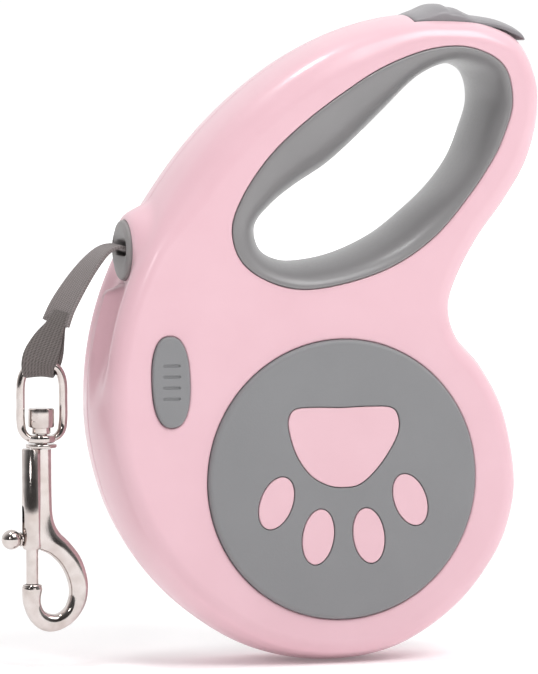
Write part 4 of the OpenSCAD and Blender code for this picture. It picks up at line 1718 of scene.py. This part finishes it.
@dataclass
class BoltSnap:
    """The nickel-plated end: swivel ring, riveted post, cast hook and sprung gate."""

    ring_x: float = -80.8
    ring_top: float = 31.6
    ring_half: float = 6.0
    wire_r: float = 1.2
    axis_x: float = -81.0            # the swivel's axis
    barrel_x: float = -83.6          # the gate's axis
    barrel_top: float = 9.2
    barrel_bottom: float = -18.4
    barrel_r: float = 2.8
    gate_r: float = 1.7
    nose_z: float = -28.4
    knob_z: float = -15.6
    # outer x, outer z, inner x, inner z, half thickness: down the web, round the eye, up to the nose
    arm: tuple = (
        (-78.3, 9.0, -83.6, 9.0, 2.2), (-78.2, -3.0, -83.6, -3.0, 2.2),
        (-77.8, -9.8, -83.6, -11.0, 2.3), (-76.2, -13.6, -82.6, -17.6, 2.5),
        (-73.0, -16.9, -78.8, -20.0, 2.6), (-69.8, -21.4, -75.8, -22.9, 2.6),
        (-68.0, -27.4, -73.8, -26.9, 2.5), (-68.3, -32.6, -73.2, -30.8, 2.4),
        (-70.4, -36.8, -74.2, -34.3, 2.3), (-73.6, -39.7, -76.2, -36.1, 2.3),
        (-77.6, -41.2, -78.2, -36.3, 2.3), (-81.4, -40.5, -80.2, -35.4, 2.4),
        (-84.4, -37.6, -81.2, -33.6, 2.5), (-86.1, -33.4, -81.3, -31.4, 2.6),
        (-86.4, -29.4, -80.9, -29.4, 2.7), (-86.2, -28.5, -81.1, -28.5, 2.5),
    )
    # (radius, height above the barrel) of the riveted post, from top to bottom
    post: tuple = (
        (0, 11.0), (3.2, 11.0), (3.55, 10.7), (3.6, 10.3), (3.6, 6.1), (3.4, 5.8), (2.6, 5.6),
        (2.6, 4.2), (2.4, 4.0), (1.6, 4.0), (1.6, 0.0), (0, 0.0),
    )
    dimple_at: Point3 = (-2.3, -2.0, 8.4)        # drilled into the post's head
    dimple_towards: Point3 = (-0.55, -0.83, 0)
    ball_r: float = 2.75             # the gate's knob
    knob_reach: float = 8.6          # from the gate's axis to the knob's end
    # (radius, distance from the gate's axis) of the knob's neck and collar
    neck: tuple = (
        (1.3, 3.75), (1.9, 3.6), (2.05, 3.35), (1.9, 3.1), (1.0, 3.0), (0.95, 0.5), (0.0, 0.5),
    )

    def build_ring(self) -> bpy.types.Object:
        """Makes the bent wire ring with its eye plate.

        Returns:
            The ring.
        """
        h, top = self.ring_half, self.ring_top
        path = closed_curve([
            (3.2, top), (0, top), (-3.2, top), (-5.0, top - 1.6), (-5.9, top - 4.6), (-h, 22),
            (-h, 17.2), (-5.4, 13.8), (-3.4, 12.0), (0, 11.8), (3.4, 12.0), (5.4, 13.8),
            (h, 17.2), (h, 22), (5.9, top - 4.6), (5.0, top - 1.6),
        ], 6)
        cage = Cage()
        rings = []
        n = len(path)
        for i, p in enumerate(path):
            d = (path[(i + 1) % n] - path[i - 1]).normalized()
            out = Vector((d.y, 0, -d.x))
            middle = Vector((self.ring_x + p.x, 0, p.y))
            # the wire is pressed flat where it runs into the eye plate
            low = max(0.0, min(1.0, (15.0 - p.y) / 3.0))
            r_y = self.wire_r + 0.7 * low
            r_o = self.wire_r - 0.2 * low
            rings.append(cage.ring([
                middle + out * math.cos(t) * r_o + Vector((0, math.sin(t) * r_y, 0))
                for t in (math.tau * k / 20 for k in range(20))
            ]))
        cage.chain(rings)
        cage.bridge(rings[-1], rings[0])
        wire = cage.solid("ring_wire", 60)
        eye = turned("ring_eye", washer(3.9, 1.7, 0, 2.0, 0.5), (self.axis_x, 0, 10.8))
        ring = join("swivel_ring_wire", [wire, eye])
        smooth(ring, 50)
        return ring

    def build_post(self) -> bpy.types.Object:
        """Makes the riveted post: a head with a drilled dimple over a stem.

        Returns:
            The post.
        """
        post = turned("swivel_post_rivet", self.post, (self.axis_x, 0, self.barrel_top))
        x, y, z = self.dimple_at
        at = (self.axis_x + x, y, self.barrel_top + z)
        cut(post, [rod("dimple_cutter", 1.0, at, self.dimple_towards, 3)])
        return post

    def build_body(self) -> bpy.types.Object:
        """Makes the cast body: barrel, web, eye and nose.

        Returns:
            The body, with the gate's bore and the knob's slot cut.
        """
        cage = Cage()
        rings = []
        for ox, oz, ix, iz, half_y in open_curve(self.arm, 6):
            outer, inner = Vector((ox, 0, oz)), Vector((ix, 0, iz))
            middle, radial = (outer + inner) / 2, (outer - inner) / 2
            rings.append(cage.ring([
                middle + radial * q.x + Vector((0, half_y * q.y, 0))
                for q in stadium(1.0, 1.0, 28, (0.0, 0.0), 0.78)
            ]))
        cage.chain(rings)
        cage.cap(rings[0])
        cage.cap(rings[-1])
        arm = cage.solid("hook_arm", 50)
        height = self.barrel_top - self.barrel_bottom
        barrel_profile = [
            (0, height), (2.5, height), (self.barrel_r, height - 0.35), (self.barrel_r, 1.0),
            (self.barrel_r - 0.15, 0.4), (2.3, 0), (0, 0),
        ]
        barrel = turned("hook_barrel", barrel_profile, (self.barrel_x, 0, self.barrel_bottom))
        nose_at = (self.barrel_x, 0, self.nose_z - 2.2)
        nose = turned("hook_nose", rounded(2.7, 0, 2.6, 0.5), nose_at)
        add_modifier(arm, "BOOLEAN", object=barrel, operation="UNION", solver="MANIFOLD")
        add_modifier(arm, "BOOLEAN", object=nose, operation="UNION", solver="MANIFOLD")
        apply_modifiers(arm)
        for helper in (barrel, nose):
            bpy.data.objects.remove(helper)
        bore_at, cup_at = ((self.barrel_x, 0, z - 1) for z in (self.barrel_bottom, self.nose_z))
        cut(arm, [
            rod("gate_cutter", self.gate_r + 0.1, bore_at, (0, 0, 1), 24),
            rod("cup_cutter", self.gate_r + 0.3, cup_at, (0, 0, 1), 3),
            self.slot_cutter(),
        ], 45)
        arm.name = "hook_body_cast"
        return arm

    def slot_cutter(self) -> bpy.types.Object:
        """Makes the shape of the slot in the barrel's side that the knob's neck rides in.

        Returns:
            The closed shape.
        """
        cage = Cage()
        loop = stadium(1.25, 5.4, 28, (0.0, self.knob_z + 3.8), 0.45)
        ends = (self.barrel_x - 4, self.barrel_x - 0.2)
        rings = [cage.ring([(x, q.x, q.y) for q in loop]) for x in ends]
        cage.chain(rings)
        cage.fill(rings[0])
        cage.fill(rings[1])
        return cage.solid("slot_cutter")

    def build_gate(self) -> bpy.types.Object:
        """Makes the sliding gate: rod, neck, collar and ball knob.

        Returns:
            The gate.
        """
        rod_at = (self.barrel_x, 0, self.nose_z - 0.6)
        gate_rod = turned("gate_rod", rounded(self.gate_r, 0, 17.6, 0.35), rod_at)
        r, reach = self.ball_r, self.knob_reach
        ball = [(0.0, reach)]
        for k in range(1, 12):
            a = math.pi * k / 14
            ball.append((r * math.sin(a), reach - r + r * math.cos(a)))
        knob_at = (self.barrel_x, 0, self.knob_z)
        knob = turned("gate_knob", [*ball, *self.neck], knob_at, (-1, 0, 0))
        gate = join("gate_bolt_turned", [gate_rod, knob])
        smooth(gate, 45)
        return gate

    def build(self, dresser: Dresser) -> list[bpy.types.Object]:
        """Makes and dresses the snap.

        Args:
            dresser: Gives each piece its finish and body.

        Returns:
            Its pieces.
        """
        spring = CoilSpring(
            "gate_spring_coil", "gate_spring", "hook", "gate_slide", at=(self.barrel_x, 0.0),
            foot=-11.28, head=3.68, radius=1.2, wire_r=0.28, turns=10, travel=8.0, fixed_head=True,
        )
        collar_at = (self.axis_x, 0, self.barrel_top)
        collar = turned("swivel_washer_turned", washer(4.3, 1.65, 0.2, 1.2, 0.3), collar_at)
        return [
            dresser.dress(self.build_ring(), "ring", "nickel", ["swivel_ring"]),
            dresser.dress(collar, "ring", "nickel", ["swivel_washer"]),
            dresser.dress(self.build_post(), "hook", "nickel", ["swivel_post"]),
            dresser.dress(self.build_body(), "hook", "nickel", ["hook_body"]),
            dresser.dress(self.build_gate(), "gate", "nickel", ["gate_bolt"]),
            spring.build(dresser),
        ]


# ---------------------------------------------------------------- studio


SQUARE = ((-1, -1), (1, -1), (1, 1), (-1, 1))


@dataclass
class Studio:
    """A white sweep of floor and wall, soft boxes and the camera."""

    azimuth: float = 18.0            # the camera stands this many degrees to the left of the front
    elevation: float = 5.0
    distance: float = 1500.0
    focal_share: float = 5460.0 / 538.0          # focal length as a share of the image's width
    aim_right: float = -20.25        # from the front badge's middle to the middle of the view
    aim_up: float = 39.1
    floor_glow: float = 0.11         # near the object
    far_glow: float = 0.6            # at the back of the sweep
    sweep_towards: tuple = (0.35, 0.9, 0.25)     # the middle of the white sweep
    # place along the sweep from its far side to its middle, and how bright it is there
    world_levels: tuple = ((0.0, 0.05), (0.22, 0.08), (0.42, 0.28), (0.62, 0.78), (0.74, 1.0), (1.0, 1.0))
    world_strength: float = 1.03
    light_aim: Point3 = (0, 0, -0.03)            # metres from the hand opening
    floor_reach: float = 6.0                     # half of the floor's side, in metres
    glow_from: float = 0.35                      # metres from the object where the sweep turns up
    glow_to: float = 1.6
    paper_mm: float = 2.5                        # size of the paper's mottle
    # name, place, side and power
    lights: tuple = (
        ("key", (0.4, -0.85, 1.05), 0.8, 12.2),
        ("streak", (-0.32, -0.12, 1.1), 0.2, 3.2),
        ("front_left", (-0.75, -1.0, 0.45), 0.2, 1.3),
    )

    def add_camera(self) -> None:
        """Puts the camera at the viewing angle, level, without depth of field."""
        az, el = math.radians(self.azimuth), math.radians(self.elevation)
        back = Vector((-math.sin(az) * math.cos(el), -math.cos(az) * math.cos(el), math.sin(el)))
        right = Vector((math.cos(az), -math.sin(az), 0))
        up = right.cross(-back)
        target = place(0, -HALF_T, 0)
        data = bpy.data.cameras.new("camera")
        data.sensor_fit = "HORIZONTAL"
        data.sensor_width = 36.0
        data.lens = self.focal_share * data.sensor_width
        data.clip_end = 20
        camera = bpy.data.objects.new("camera", data)
        camera.location = target + back * self.distance * MM
        aim = target + right * self.aim_right * MM + up * self.aim_up * MM
        camera.rotation_euler = (aim - camera.location).to_track_quat("-Z", "Y").to_euler()
        bpy.context.scene.collection.objects.link(camera)
        bpy.context.scene.camera = camera

    def add_light(self, name: str, at: Sequence[float], size: float, power: float) -> None:
        """Adds a white soft box that looks at the object's middle.

        Args:
            name: The light's name.
            at: Its place in metres from the hand opening.
            size: Its side in metres.
            power: Its power in watts.
        """
        data = bpy.data.lights.new(name, "AREA")
        data.shape = "SQUARE"
        data.size = size
        data.energy = power
        light = bpy.data.objects.new(name, data)
        light.location = at
        sight = Vector(self.light_aim) - Vector(at)
        light.rotation_euler = sight.to_track_quat("-Z", "Y").to_euler()
        bpy.context.scene.collection.objects.link(light)

    def add_floor(self) -> None:
        """Adds a pale floor that the casing's lowest point touches, with a painted glow that is fainter
        near the object and brighter towards the back.
        """
        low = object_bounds()[0][2]
        mesh = bpy.data.meshes.new("floor")
        corners = [(x * self.floor_reach, y * self.floor_reach, low) for x, y in SQUARE]
        mesh.from_pydata(corners, [], [(0, 1, 2, 3)])
        floor = bpy.data.objects.new("floor", mesh)
        bpy.context.scene.collection.objects.link(floor)
        tree = NodeTree(bpy.data.materials.new("white_paper"))
        where = tree.add("ShaderNodeTexCoord").outputs["Object"]
        fibre = tree.add("ShaderNodeTexNoise", Vector=where, Scale=1 / (self.paper_mm * MM))
        rough = tree.add("ShaderNodeMapRange", Value=fibre.outputs["Fac"], To_Min=0.75, To_Max=0.95)
        far = tree.add("ShaderNodeVectorMath", {"operation": "LENGTH"}, Vector=where)
        # painted glow: the floor emits light, fainter near the object and brighter far from it
        glow = tree.add(
            "ShaderNodeMapRange", Value=far.outputs["Value"], From_Min=self.glow_from,
            From_Max=self.glow_to, To_Min=self.floor_glow, To_Max=self.far_glow,
        )
        shader = tree.add(
            "ShaderNodeBsdfPrincipled", Base_Color=linear("#fafafa"), Roughness=rough.outputs[0],
            Specular_IOR_Level=0.1, Emission_Color=linear("#ffffff"),
            Emission_Strength=glow.outputs[0],
        )
        mesh.materials.append(tree.finish(shader))
        floor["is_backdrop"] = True

    def add_world(self) -> None:
        """Adds a white sweep behind the object that falls off to a dim room on the viewer's left."""
        tree = NodeTree(bpy.data.worlds.new("studio"))
        where = tree.add("ShaderNodeTexCoord").outputs["Generated"]
        facing = tree.add(
            "ShaderNodeVectorMath", {"operation": "DOT_PRODUCT"}, i0=where, i1=self.sweep_towards
        )
        along = tree.add(
            "ShaderNodeMath", {"operation": "MULTIPLY_ADD"}, i0=facing.outputs["Value"], i1=0.5, i2=0.5
        )
        stops = [(position, (level, level, level, 1)) for position, level in self.world_levels]
        levels = tree.add("ShaderNodeValToRGB", stops=stops, Fac=along.outputs[0])
        background = tree.add(
            "ShaderNodeBackground", Color=levels.outputs[0], Strength=self.world_strength
        )
        bpy.context.scene.world = tree.finish(background, "ShaderNodeOutputWorld")

    def build(self) -> None:
        """Sets up the world, lights, floor and camera."""
        bpy.context.scene.view_settings.view_transform = "Standard"
        self.add_world()
        for light in self.lights:
            self.add_light(*light)
        self.add_floor()
        self.add_camera()


def main() -> None:
    """Builds the leash piece by piece, then the studio."""
    logging.basicConfig(level=logging.INFO, format="%(name)s: %(message)s")
    dresser = Dresser()
    Studio().build()
    tape, ends, path = Tape().build(dresser)
    snap = BoltSnap().build(dresser)
    Casing().build(dresser)
    ThumbButton().build(dresser)
    Grommet().build(dresser)
    for name in (
        "shell_screws", "axle", "axle_bushings", "spool", "ratchet_wheel", "spring_cassette",
        "cassette_cover", "power_spring", "guide_roller", "guide_pin", "brake_link", "brake_pawl",
        "pawl_pin", "pawl_spring",
    ):
        dresser.dress_node(name)
    dresser.dress_node("wound_tape", "tape_coil")


if __name__ == "__main__":
    main()
